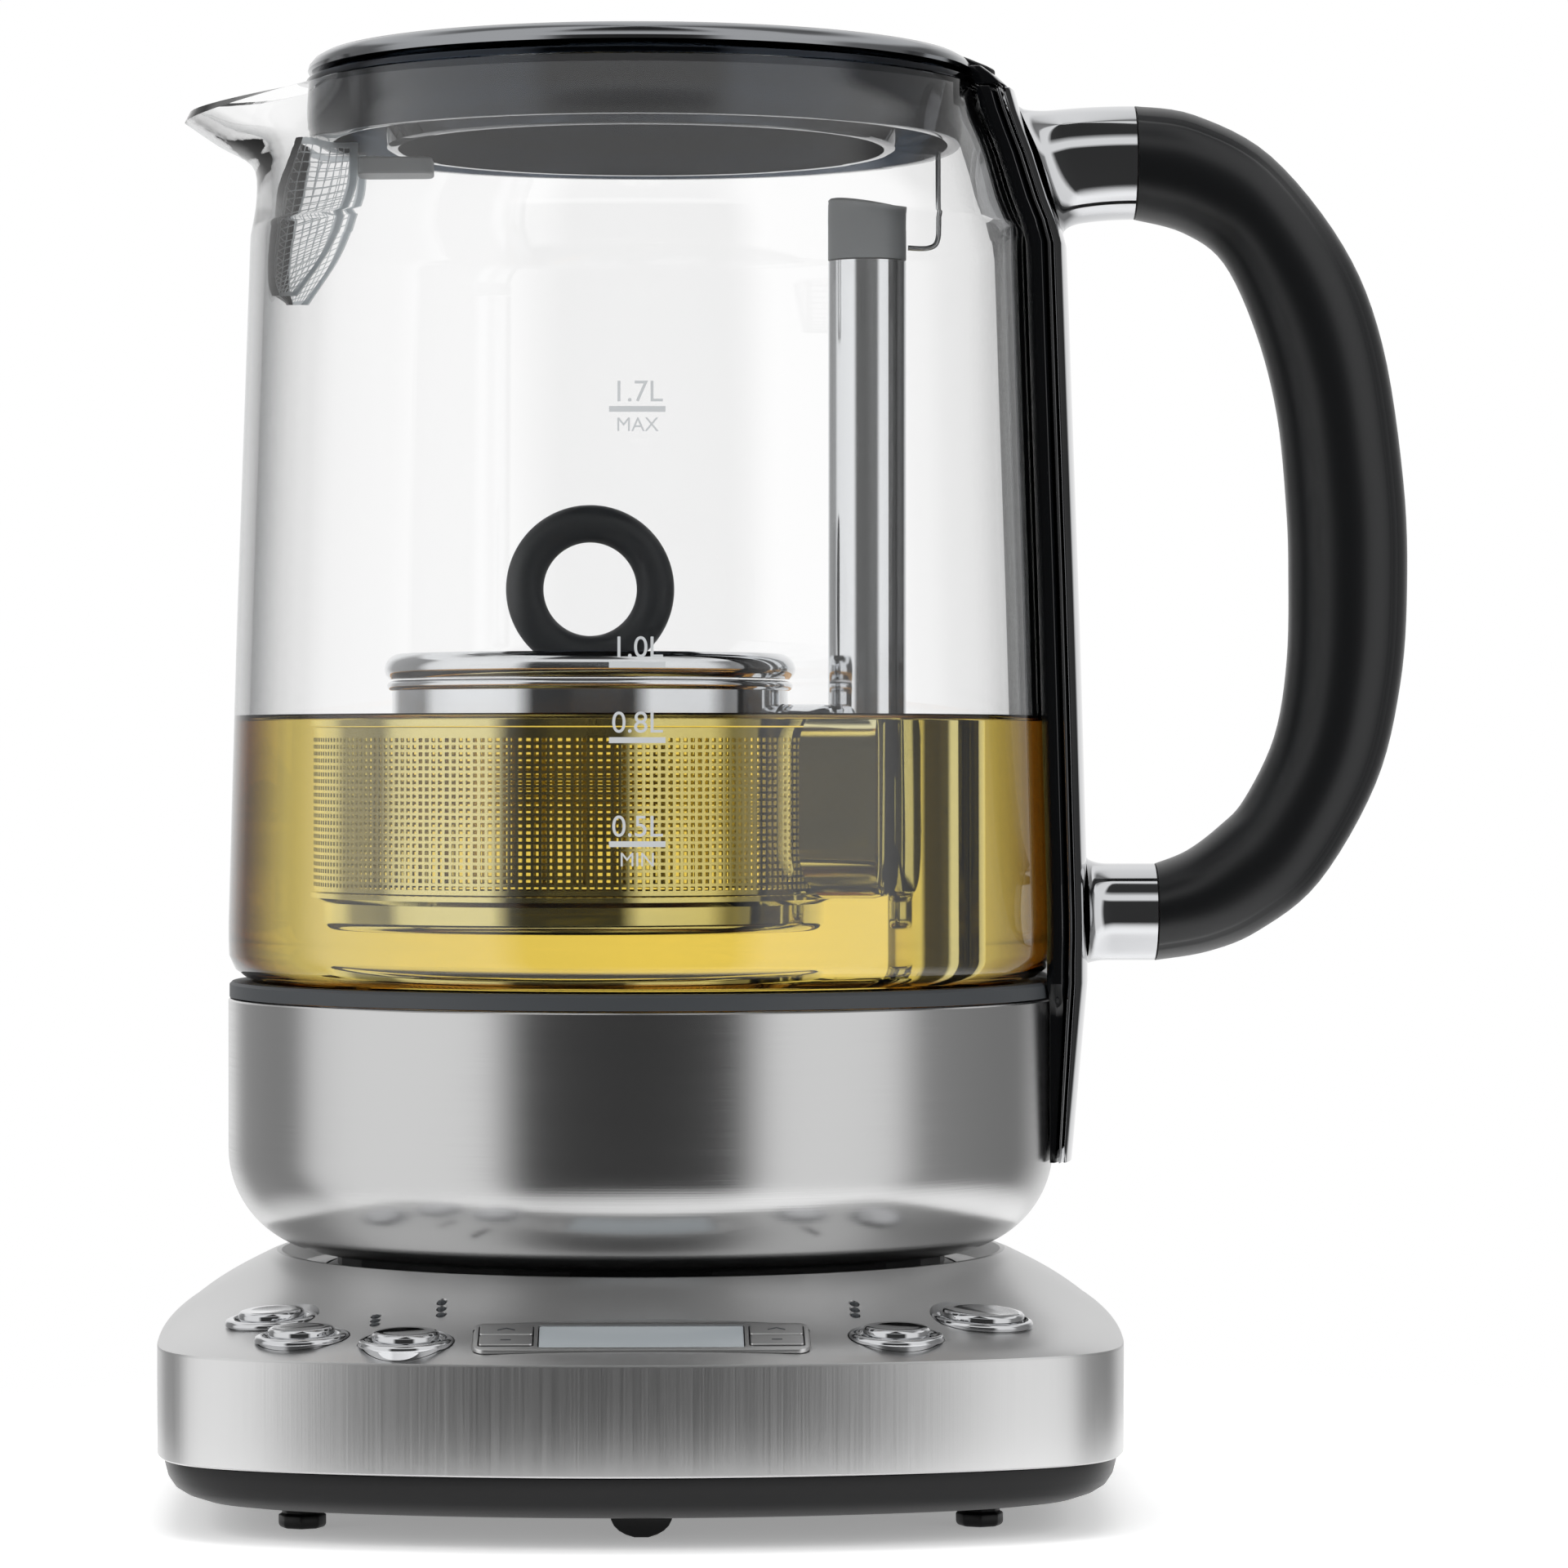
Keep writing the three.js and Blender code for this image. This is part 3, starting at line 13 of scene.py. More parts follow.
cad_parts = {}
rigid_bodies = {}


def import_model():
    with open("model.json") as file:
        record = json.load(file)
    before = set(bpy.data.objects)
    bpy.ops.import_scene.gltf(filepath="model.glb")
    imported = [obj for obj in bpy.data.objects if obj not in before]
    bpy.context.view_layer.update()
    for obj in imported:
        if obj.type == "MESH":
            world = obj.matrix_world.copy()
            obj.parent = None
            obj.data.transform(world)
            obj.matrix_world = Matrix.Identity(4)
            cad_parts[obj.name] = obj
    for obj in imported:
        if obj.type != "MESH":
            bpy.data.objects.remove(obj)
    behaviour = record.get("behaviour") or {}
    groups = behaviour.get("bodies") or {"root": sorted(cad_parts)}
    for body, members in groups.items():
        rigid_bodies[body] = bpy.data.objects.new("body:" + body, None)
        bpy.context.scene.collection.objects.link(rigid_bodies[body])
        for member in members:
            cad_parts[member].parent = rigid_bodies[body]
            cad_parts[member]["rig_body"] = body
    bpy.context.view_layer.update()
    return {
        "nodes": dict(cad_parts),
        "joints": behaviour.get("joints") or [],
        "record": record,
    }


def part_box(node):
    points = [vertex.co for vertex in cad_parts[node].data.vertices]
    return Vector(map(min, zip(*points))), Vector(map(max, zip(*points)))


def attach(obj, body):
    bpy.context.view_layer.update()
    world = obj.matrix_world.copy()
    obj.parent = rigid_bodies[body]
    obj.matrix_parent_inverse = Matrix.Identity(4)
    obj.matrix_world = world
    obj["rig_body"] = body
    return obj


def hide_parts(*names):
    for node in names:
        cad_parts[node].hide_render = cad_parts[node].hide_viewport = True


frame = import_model()
mm = 0.001
up = Vector((0, 0, 1))

# %% [markdown]
# The jug, its lid and the lip of the base are all turned about one upright axis. The infuser and the
# column have axes of their own. Each axis is read from the middle of a piece of the plain model. Sizes
# are written in millimetres from the jug's axis, and one function turns them into a place in metres.
# Another gives the place from a radius and an angle, and a third the angles of one turn in even steps.

# %% Axes of the turned pieces
def middle_x(node):
    low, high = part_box(node)
    return (low.x + high.x) / 2

jug_x = middle_x("jug_shell")
infuser_x = middle_x("infuser_rim")
column_x = middle_x("lift_column")

def at(x, y, z, start=jug_x):
    return Vector((start + x * mm, y * mm, z * mm))

def around(radius, angle, height, start=jug_x):
    return at(radius * math.cos(angle), radius * math.sin(angle), height, start)

def turns(steps):
    return [2 * math.pi * i / steps for i in range(steps)]

print("axes in mm:", [round(x / mm, 2) for x in (jug_x, infuser_x, column_x)])

# %% [markdown]
# A material is a Principled BSDF with a few numbers. Colours are written as sRGB hex, as a paint card
# gives them, and one function turns them to the linear values that Blender works in. A second function
# adds any node with its settings and links, so that each finish below stays a short recipe.

# %% Helpers for finishes
def linear(code):
    channels = [int(code[i:i + 2], 16) / 255 for i in (1, 3, 5)]
    return (*[c / 12.92 if c <= 0.04045 else ((c + 0.055) / 1.055) ** 2.4 for c in channels], 1.0)

def add_node(owner, kind, settings=None, values=None, links=None):
    node = owner.node_tree.nodes.new(kind)
    for key, value in (settings or {}).items():
        setattr(node, key, value)
    for key, value in (values or {}).items():
        node.inputs[key].default_value = value
    for key, socket in (links or {}).items():
        owner.node_tree.links.new(socket, node.inputs[key])
    return node

def new_finish(name, colour, roughness, metallic=0.0, more=None):
    material = bpy.data.materials.new(name)
    material.use_nodes = True
    shader = material.node_tree.nodes["Principled BSDF"]
    shader.inputs["Base Color"].default_value = linear(colour)
    shader.inputs["Roughness"].default_value = roughness
    shader.inputs["Metallic"].default_value = metallic
    for key, value in (more or {}).items():
        shader.inputs[key].default_value = value
    return material

print("steel in linear values:", [round(value, 3) for value in linear("#C6C8C9")[:3]])

# %% [markdown]
# Every finish has a fine pattern in it. One function lays noise over the object, stretched as the
# finish needs, and lets it change the roughness and raise small bumps. The stretch is one number for
# each axis: a big number packs the pattern tightly along that axis.

# %% Pattern in a finish
def patterned(material, stretch, roughness, spread, depth):
    shader = material.node_tree.nodes["Principled BSDF"]
    place = add_node(material, "ShaderNodeTexCoord").outputs["Object"]
    mapping = add_node(material, "ShaderNodeMapping", values={"Scale": stretch}, links={"Vector": place})
    noise = add_node(
        material, "ShaderNodeTexNoise", values={"Scale": 1.0, "Detail": 3.0},
        links={"Vector": mapping.outputs["Vector"]})
    tone = add_node(
        material, "ShaderNodeMapRange", values={"To Min": roughness - spread, "To Max": roughness + spread},
        links={"Value": noise.outputs["Fac"]})
    bump = add_node(
        material, "ShaderNodeBump", values={"Strength": 1.0, "Distance": depth},
        links={"Height": noise.outputs["Fac"]})
    material.node_tree.links.new(tone.outputs["Result"], shader.inputs["Roughness"])
    material.node_tree.links.new(bump.outputs["Normal"], shader.inputs["Normal"])
    return material

def grained(name, colour, roughness, grain, depth, more=None):
    scale = 1 / (grain * mm)
    material = new_finish(name, colour, roughness, more=more)
    return patterned(material, (scale, scale, scale), roughness, 0.04, depth * mm)

print("grains per metre at 0.4 mm:", 1 / (0.4 * mm))

# %% [markdown]
# Brushed stainless steel is a polished sheet with thousands of fine scratches, all in one direction.
# On the jug they run round it, because it was brushed on a lathe. On the skirt they stand upright, and
# on the slope they are so short and fine that it looks like satin. A real scratch is about 0.05 mm
# wide; the streaks here are 0.25 mm wide, so that they still show in a picture of the whole object.

# %% Steels
fine = 1 / (0.25 * mm)
coarse = 1 / (40 * mm)
round_it = (coarse, coarse, fine)

def metal(name, colour, stretch, roughness, spread, depth):
    return patterned(new_finish(name, colour, roughness, 1.0), stretch, roughness, spread, depth * mm)

steel_round = metal("stainless brushed round", "#CCCCCC", round_it, 0.22, 0.04, 0.008)
steel_upright = metal("stainless brushed upright", "#DCDCDC", (fine, fine, coarse), 0.32, 0.08, 0.008)
steel_satin = metal("stainless satin", "#D4D4D4", (fine, fine, fine), 0.36, 0.04, 0.002)
steel_polished = metal("stainless polished", "#E0E2E4", round_it, 0.08, 0.03, 0.0006)
steel_dark = metal("stainless polished dark", "#97999C", round_it, 0.14, 0.03, 0.0006)
chrome = metal("chrome plate", "#CFD0D2", (coarse, coarse, coarse), 0.04, 0.01, 0.002)
print("streak width and length in mm:", 1 / fine / mm, 1 / coarse / mm)

# %% [markdown]
# The plastics are moulded. The mould is etched, so black plastic and the grip have a fine grain, and
# the handle's band is moulded in a polished mould and shines. The knob and the seal are silicone, which
# is matt and soft.

# %% Plastics
abs_black = grained("ABS black", "#0A0A0B", 0.34, 0.4, 0.004, {"Specular IOR Level": 0.3})
gloss_black = grained("ABS black glossy", "#0B0C0E", 0.07, 6, 0.002)
grip_black = grained("nylon black", "#0F1012", 0.34, 0.5, 0.004)
abs_grey = grained("polypropylene grey", "#A9AEB1", 0.45, 0.4, 0.004)
silicone_grey = grained("silicone grey", "#3A3D40", 0.5, 0.6, 0.006)
board_green = grained("solder mask green", "#2D5A3C", 0.5, 0.6, 0.004)
ink_grey = grained("ceramic ink grey", "#C4C7C9", 0.5, 0.2, 0.002)
ink_dark = grained("ink dark", "#34373A", 0.45, 0.2, 0.002)
lens_grey = grained("acrylic grey", "#A3A9AD", 0.05, 8, 0.001, {"IOR": 1.49})
print("finishes so far:", len(bpy.data.materials))

# %% [markdown]
# Clear glass looks grey at its edges, where it shows the dark surroundings; here that grey is painted
# shade. A Layer Weight node, which is high at flat angles, paints the grey at the edges, and the middle stays
# clear.
# Tea gets the same painted shade in brown: the volume of tea gives its real amber, bright yellow where the
# light comes straight through, and the brown at the sides is painted. The glass bends a ray before it meets
# the tea, so the range for tea starts and ends low. The walls and the tea each reflect a little, which
# together would veil the inside, so they reflect less than the typical share. The smoked plastic of the neck
# is a dark blue grey with a darker painted shade at its edges, and the pale plastic gets a grey painted shade
# at its edges.

# %% Clear finishes
def clear_finish(name, middle, painted_edge_shade, roughness, ior, starts, ends=0.95, more=None):
    clear = {"Transmission Weight": 1.0, "IOR": ior}
    material = new_finish(name, middle, roughness, more={**clear, **(more or {})})
    # The second colour is painted shade: it darkens the finish where the surface is seen at a flat angle.
    weight = add_node(material, "ShaderNodeLayerWeight", values={"Blend": 0.5})
    painted_shade_share = add_node(
        material, "ShaderNodeMapRange", values={"From Min": starts, "From Max": ends},
        links={"Value": weight.outputs["Facing"]})
    colour = add_node(
        material, "ShaderNodeMix", {"data_type": "RGBA"}, links={"Factor": painted_shade_share.outputs["Result"]})
    near, far = [socket for socket in colour.inputs if socket.type == "RGBA"]
    near.default_value = linear(middle)
    far.default_value = linear(painted_edge_shade)
    mixed = next(socket for socket in colour.outputs if socket.type == "RGBA")
    shader = material.node_tree.nodes["Principled BSDF"]
    material.node_tree.links.new(mixed, shader.inputs["Base Color"])
    return material

def absorbing(material, colour, density):
    volume = add_node(
        material, "ShaderNodeVolumeAbsorption", values={"Color": colour, "Density": density})
    output = material.node_tree.nodes["Material Output"]
    material.node_tree.links.new(volume.outputs["Volume"], output.inputs["Volume"])
    return material

calm = {"Specular IOR Level": 0.2}
# The second colour of each clear finish below is the painted shade at its edges.
glass_clear = clear_finish("borosilicate glass", "#FFFFFF", "#5E6366", 0.0, 1.47, 0.55, more=calm)
tea_clear = clear_finish("black tea", "#FFFFFF", "#8A4A0C", 0.0, 1.333, 0.21, 0.265, calm)
tea_finish = absorbing(tea_clear, (0.96, 0.82, 0.03, 1.0), 16.0)
smoke = clear_finish(
    "SAN smoked", "#353F4B", "#07090C", 0.05, 1.57, 0.25, more={"Specular Tint": linear("#B4C0D2")})
mesh_pale = clear_finish("polypropylene clear", "#C9CED1", "#7D8386", 0.3, 1.49, 0.4)
print("clear finishes:", [m.name for m in (glass_clear, tea_finish, smoke, mesh_pale)])

# %% [markdown]
# Every fine piece goes through one function. It gives the mesh its material, shades it smooth except
# over sharp edges, and lets it ride on the body of the plain model that it belongs to. A second one is for
# a piece that takes the place of one plain piece: it hides that piece and rides on its body.

# %% Helpers for pieces
body_of_node = {name: piece["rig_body"] for name, piece in frame["nodes"].items()}
slot_of_node = {s["node"]: s["material_slot"] for s in frame["record"]["subparts"]}

def mesh_from(name, bm):
    mesh = bpy.data.meshes.new(name)
    bm.to_mesh(mesh)
    bm.free()
    return mesh

def placed(name, data):
    thing = bpy.data.objects.new(name, data)
    bpy.context.scene.collection.objects.link(thing)
    return thing

def keep(name, bm, material, body, nodes=(), sharp=35):
    bmesh.ops.remove_doubles(bm, verts=bm.verts[:], dist=mm / 2000)
    mesh = mesh_from(name, bm)
    mesh.shade_smooth()
    mesh.set_sharp_from_angle(angle=math.radians(sharp))
    mesh.materials.append(material)
    piece = placed(name, mesh)
    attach(piece, body)
    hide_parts(*nodes)
    return piece

def renew(node, bm, material, sharp=35):
    return keep(f"{node}_fine", bm, material, body_of_node[node], [node], sharp)

def soften(bm, width, sharper_than=30):
    limit = math.radians(sharper_than)
    edges = [e for e in bm.edges if len(e.link_faces) == 2 and e.calc_face_angle() > limit]
    bmesh.ops.bevel(
        bm, geom=edges, offset=width * mm, offset_type="OFFSET", segments=2,
        profile=0.5, affect="EDGES", material=-1, clamp_overlap=True)
    return bm

def mix(a, b, share):
    return a + (b - a) * share

print("nodes with a body:", len(body_of_node))

# %% [markdown]
# A turned piece is a profile of radius and height pairs, in millimetres, spun about its axis. A profile
# that doesn't start and end on the axis is closed first, so that it makes a ring.

# %% Turn a profile
def turned(profile, x=jug_x, steps=128, width=0.0):
    bm = bmesh.new()
    points = [bm.verts.new((x + radius * mm, 0, height * mm)) for radius, height in profile]
    ends = [*zip(points, points[1:])]
    if profile[0][0] > 0 or profile[-1][0] > 0:
        ends.append((points[-1], points[0]))
    edges = [bm.edges.new(pair) for pair in ends]
    bmesh.ops.spin(
        bm, geom=points + edges, cent=(x, 0, 0), axis=up, angle=2 * math.pi, steps=steps, use_merge=True)
    bmesh.ops.remove_doubles(bm, verts=bm.verts[:], dist=mm / 1000)
    bmesh.ops.dissolve_degenerate(bm, edges=bm.edges[:], dist=mm / 1000)
    bmesh.ops.recalc_face_normals(bm, faces=bm.faces[:])
    return soften(bm, width) if width else bm

def arc(radius, height, size, start, end, steps=12):
    angles = [math.radians(start + (end - start) * i / steps) for i in range(steps + 1)]
    return [(radius + size * math.cos(a), height + size * math.sin(a)) for a in angles]

print("points of a quarter round:", len(arc(0, 0, 1, 0, 90)))

# %% [markdown]
# A lofted piece is one ring after another: a circle is made, its points are moved to the first ring, and
# its edges are extruded to each next ring. A joined loft ends where it began, like a hollow wall. A slab
# is a loft of rounded rectangles, set in a seat, which is a matrix that gives a place and a lean.

# %% Loft rings
def extruded(bm, edges):
    grown = bmesh.ops.extrude_edge_only(bm, edges=edges)["geom"]
    verts = {item for item in grown if isinstance(item, bmesh.types.BMVert)}
    ends = [item for item in grown if isinstance(item, bmesh.types.BMEdge) and verts.issuperset(item.verts)]
    return verts, ends, [item for item in grown if isinstance(item, bmesh.types.BMFace)]

def lofted(rings, joined=False):
    bm = bmesh.new()
    loop = bmesh.ops.create_circle(bm, segments=len(rings[0]), radius=mm)["verts"]
    for vert, place in zip(loop, rings[0]):
        vert.co = place
    start_edges = bm.edges[:]
    edges = start_edges
    for ring in [*rings[1:], rings[0]] if joined else rings[1:]:
        fresh, edges, _ = extruded(bm, edges)
        follow = {}
        for vert in fresh:
            below = next(e.other_vert(vert) for e in vert.link_edges if e.other_vert(vert) not in fresh)
            follow[below] = vert
        loop = [follow[vert] for vert in loop]
        for vert, place in zip(loop, ring):
            vert.co = place
    if not joined:
        bmesh.ops.contextual_create(bm, geom=start_edges)
        bmesh.ops.contextual_create(bm, geom=edges)
    bmesh.ops.remove_doubles(bm, verts=bm.verts[:], dist=mm / 1000)
    bmesh.ops.recalc_face_normals(bm, faces=bm.faces[:])
    return bm

def smooth_line(points, steps):
    ends = [points[0], *points, points[-1]]
    line = []
    for i in range(len(points) - 1):
        a, b, c, d = [Vector(p) for p in ends[i:i + 4]]
        for j in range(steps):
            t = j / steps
            line.append((2 * b + (c - a) * t + (2 * a - 5 * b + 4 * c - d) * t ** 2
                         + (3 * b - a - 3 * c + d) * t ** 3) / 2)
    return [*line, Vector(points[-1])]

def rounded_outline(width, depth, corner, steps=8):
    points = []
    for quarter, (side_x, side_y) in enumerate([(1, 1), (-1, 1), (-1, -1), (1, -1)]):
        centre_x = side_x * (width / 2 - corner)
        centre_y = side_y * (depth / 2 - corner)
        points += arc(centre_x, centre_y, corner, quarter * 90, quarter * 90 + 90, steps)
    return points

def slab(width, depth, corner, layers, seat):
    rings = []
    for height, inset in layers:
        outline = rounded_outline(width - 2 * inset, depth - 2 * inset, corner - inset)
        rings.append([seat @ at(x, y, height, 0) for x, y in outline])
    return lofted(rings)

print("points of a rounded rectangle:", len(rounded_outline(4, 2, 0.5)))

# %% [markdown]
# Small flat pieces are already right in the plain model. A copy has its loose triangles merged, its flat
# faces cleaned, and its edges rounded, because no moulded or pressed edge is quite sharp.

# %% Copy a plain piece with rounded edges
def softened_copy(node, material, width):
    bm = bmesh.new()
    bm.from_mesh(frame["nodes"][node].data)
    bmesh.ops.remove_doubles(bm, verts=bm.verts[:], dist=mm / 100)
    bmesh.ops.dissolve_limit(bm, angle_limit=math.radians(1), verts=bm.verts[:], edges=bm.edges[:])
    return renew(node, soften(bm, width), material)

feet = [name for name in frame["nodes"] if name.startswith("foot_")]
for name in [*feet, "cord_outlet"]:
    softened_copy(name, abs_black, 0.4)
print("feet:", len(feet))

# %% [markdown]
# The base is a bowed square at the skirt and a circle at the lip. A superellipse gives every shape in
# between: its exponent falls from the skirt's to 2, which is a circle, and the bow of the sides fades
# away with it. More points are spent on the corners, where the outline turns fastest.

# %% Outline and slope of the base
base_half_x = 86.2
base_half_y = 94.4
base_squareness = 11.5
front_bow = 0.185
side_bow = 0.04
skirt_bottom = 12.8
crease_height = 32.0
crease_round = 0.6
lip_height = 44.2
lip_radius = 67.0
slope_crown = 0.7
front_hollow = 5.0
outline_steps = 240

def outline_ring(height, inset=0.0, share=0.0, lip=lip_radius):
    half_x = mix(base_half_x - inset, lip, share)
    half_y = mix(base_half_y - inset, lip, share)
    exponent = 1 / mix(1 / base_squareness, 1 / 2, share)
    bow = 1 - share
    ring = []
    for even in turns(outline_steps):
        angle = even + 0.15 * math.sin(4 * even)
        cosine, sine = math.cos(angle), math.sin(angle)
        reach = (abs(cosine) ** exponent + abs(sine) ** exponent) ** (-1 / exponent)
        u, v = reach * cosine, reach * sine
        x = half_x * u * (1 - side_bow * bow * v * v)
        y = half_y * v * (1 - front_bow * bow * u * u)
        level = height(sine) if callable(height) else height
        ring.append(at(x, y, level))
    return ring

def slope_ring(share):
    def level(sine):
        t = min(max((-sine - 0.1) / 0.6, 0), 1)
        bulge = mix(slope_crown, -front_hollow * share, t * t * (3 - 2 * t))
        return mix(crease_height, lip_height, share) + bulge * math.sin(math.pi * share)
    return outline_ring(level, crease_round, share)

print("corner of the skirt in mm:", [round(c / mm, 1) for c in outline_ring(0)[30]])

# %% [markdown]
# The cover is one drawn sheet of steel: an upright skirt, a soft crease, the slope, and a lip with a
# ledge inside it for the jug. Here it is a joined loft of the outer rings and then the inner ones.

# %% Base cover
lip_land = 1.2
ledge_drop = 3.0
ledge_inner = 58.0
ledge_corner = 3.0
cover_wall = 1.6
ledge_height = lip_height - ledge_drop
ledge_outer = lip_radius - lip_land - ledge_corner
cover_rings = [
    outline_ring(skirt_bottom, 0.3),
    outline_ring(skirt_bottom + 0.3),
    outline_ring(crease_height - crease_round),
    outline_ring(crease_height - crease_round * 0.35, crease_round * 0.2),
    *[slope_ring(i / 16) for i in range(16)],
    *[outline_ring(height, share=1, lip=lip) for height, lip in (
        (lip_height - 0.2, lip_radius), (lip_height, lip_radius - 0.3), (lip_height, lip_radius - lip_land),
        (ledge_height, ledge_outer), (ledge_height, ledge_inner),
        (ledge_height - cover_wall, ledge_inner), (ledge_height - cover_wall, ledge_outer))],
    outline_ring(crease_height - cover_wall * 3, cover_wall * 2),
    outline_ring(skirt_bottom, cover_wall),
]
cover = renew("base_cover", lofted(cover_rings, joined=True), steel_upright, sharp=25)
print("cover faces:", len(cover.data.polygons))

# %% [markdown]
# The slope isn't brushed upright as the skirt is. It has a satin finish, so the faces that look upwards
# get the satin steel, and the skirt keeps the streaks.

# %% Two finishes on one sheet
cover.data.materials.append(steel_satin)
for face in cover.data.polygons:
    face.material_index = 1 if face.normal.z > 0.25 else 0
print("satin faces:", sum(face.material_index for face in cover.data.polygons))

# %% [markdown]
# Each button slides in a chrome bezel, and the bezel stands in a hole of the cover. A button's place is
# given from above, in millimetres from the jug's axis. A ray dropped on the cover finds the height, and
# the lean is the way the button is pressed in the plain model.

# %% Seats on the slope
button_places = {
    "start": (-64.3, -56.1), "keep_warm": (-58.1, -74.1), "tea_type": (-40.0, -82.0),
    "strength": (43.5, -78.7), "power": (59.1, -61.2),
}
bezel_radius = 8.15
cap_radius = 5.75
bigger = {"power": (8.95, 7.35)}
panel_y = -82.05
press_axes = {j["child"]: -Vector(j["axis"]) for j in frame["joints"] if j["name"].endswith("_press")}

def on_cover(x, y):
    return cover.ray_cast(at(x, y, 100), -up)[1]

def lean(place, normal):
    return Matrix.Translation(place) @ up.rotation_difference(normal).to_matrix().to_4x4()

def seated(profile, seat, steps=64, width=0.0):
    bm = turned(profile, x=0, steps=steps, width=width)
    bmesh.ops.transform(bm, matrix=seat, verts=bm.verts[:])
    return bm

button_seats = {
    name: lean(on_cover(x, y), press_axes[f"button_{name}_cap"]) for name, (x, y) in button_places.items()}
panel_tilt = press_axes["key_left_up_cap"]
panel_seat = lean(on_cover(0, panel_y), panel_tilt)
print("button heights in mm:", [round(seat.translation.z / mm, 1) for seat in button_seats.values()])

# %% [markdown]
# A hole is cut with a Boolean: the cutter is a solid in the shape of the hole, and what lies inside it
# is taken away. The cutters are gone afterwards, and only the holes stay.

# %% Cut holes
def finished_mesh(thing):
    bpy.context.view_layer.update()
    return bpy.data.meshes.new_from_object(thing.evaluated_get(bpy.context.evaluated_depsgraph_get()))

def cut_with(piece, tools):
    for bm in tools:
        change = piece.modifiers.new("cut", "BOOLEAN")
        change.object = placed("cutter", mesh_from("cutter", bm))
        change.solver = "EXACT"
    result = finished_mesh(piece)
    cutters = [change.object for change in piece.modifiers]
    piece.modifiers.clear()
    piece.data = result
    for cutter in cutters:
        bpy.data.objects.remove(cutter)
    return piece

tools = []
for name, seat in button_seats.items():
    outer, _ = bigger.get(name, (bezel_radius, cap_radius))
    hole = [(0, -6), (outer - 0.5, -6), (outer - 0.5, -0.4), (outer + 0.2, -0.4), (outer + 0.2, 6), (0, 6)]
    tools.append(seated(hole, seat))
panel_width = 57.0
panel_depth = 14.6
panel_corner = 2.2
tools.append(slab(panel_width + 0.5, panel_depth + 0.5, panel_corner + 0.25, [(-0.6, 0), (8, 0)], panel_seat))
tools.append(slab(panel_width - 1.2, panel_depth - 1.2, panel_corner - 0.6, [(-9, 0), (-0.5, 0)], panel_seat))
dot_places = [(x, y + step) for x, y in ((-45.8, -67), (-34.4, -67), (36.8, -66.7)) for step in (-2, 0, 2)]
dot_seats = [Matrix.Translation(on_cover(x, y)) for x, y in dot_places]
tools += [seated([(0, -4), (0.95, -4), (0.95, 3), (0, 3)], seat, steps=24) for seat in dot_seats]
cut_with(cover, tools)
print("cover faces with holes:", len(cover.data.polygons))

# %% [markdown]
# The bezel is a chrome ring whose top falls inwards to the cap. The cap is a shallow chrome dome with
# a rounded rim. All five are alike, and the one for power is larger.

# %% Bezels and caps
for name, seat in button_seats.items():
    outer, cap = bigger.get(name, (bezel_radius, cap_radius))
    bezel = seated([
        (cap + 0.3, 0.3), (cap + 0.8, 0.8), (outer - 0.9, 0.9), (outer - 0.25, 0.7), (outer, 0.3),
        (outer, -0.3), (outer - 0.6, -0.3), (outer - 0.6, -3.2), (cap + 0.3, -3.2)], seat, width=0.15)
    renew(f"bezel_{name}", bezel, chrome)
    button = seated([
        (0, 1.95), (cap - 2.2, 2.0), (cap - 1.1, 2.1), (cap - 0.4, 2.0), (cap, 1.6), (cap, -2.2),
        (2, -2.2), (2, -5.4), (0, -5.4)], seat, width=0.1)
    renew(f"button_{name}", button, chrome)
print("bezels:", len(button_seats))

# %% [markdown]
# The panel between the buttons is a satin plate in a shallow recess. It has a window for the display
# and two openings for the keys. The recess leaves a thin shadow line round the plate.

# %% Display panel
panel_layers = [(-2.5, 0.9), (-0.35, 0.9), (-0.3, 0), (0.2, 0), (0.35, 0.1), (0.4, 0.3)]
panel = slab(panel_width, panel_depth, panel_corner, panel_layers, panel_seat)
panel = renew("display_bezel", panel, steel_satin)
display_width = 34.8
display_depth = 11.6
key_x = 23.0
key_y = 2.75
key_width = 9.0
key_depth = 5.0

def shifted(seat, x, y, z=0.0):
    return seat @ Matrix.Translation((x * mm, y * mm, z * mm))

through = [(-4, 0), (2, 0)]
openings = [slab(display_width + 0.4, display_depth + 0.4, 0.7, through, panel_seat)]
for side in (-1, 1):
    seat = shifted(panel_seat, side * key_x, 0)
    openings.append(slab(key_width + 0.5, 2 * key_y + key_depth + 0.5, 0.7, through, seat))
cut_with(panel, openings)
lens = slab(display_width, display_depth, 0.5, [(-0.8, 0), (0.15, 0), (0.25, 0.1)], panel_seat)
renew("display_lens", lens, lens_grey)
module = slab(display_width - 1, display_depth - 1, 0.5, [(-4.5, 0), (-1.1, 0)], panel_seat)
renew("display_module", module, abs_black)
print("panel lean in degrees:", round(math.degrees(panel_tilt.angle(up)), 1))

# %% [markdown]
# Each arrow key is a small satin pad. The rear pad has an arrow head printed on it, and the front one a
# dash. The prints are thin slabs that lie on the pads and move with them.

# %% Arrow keys
def flat_print(points, seat, thickness=0.06):
    return lofted([[seat @ at(x, y, z, 0) for x, y in points] for z in (0, thickness)])

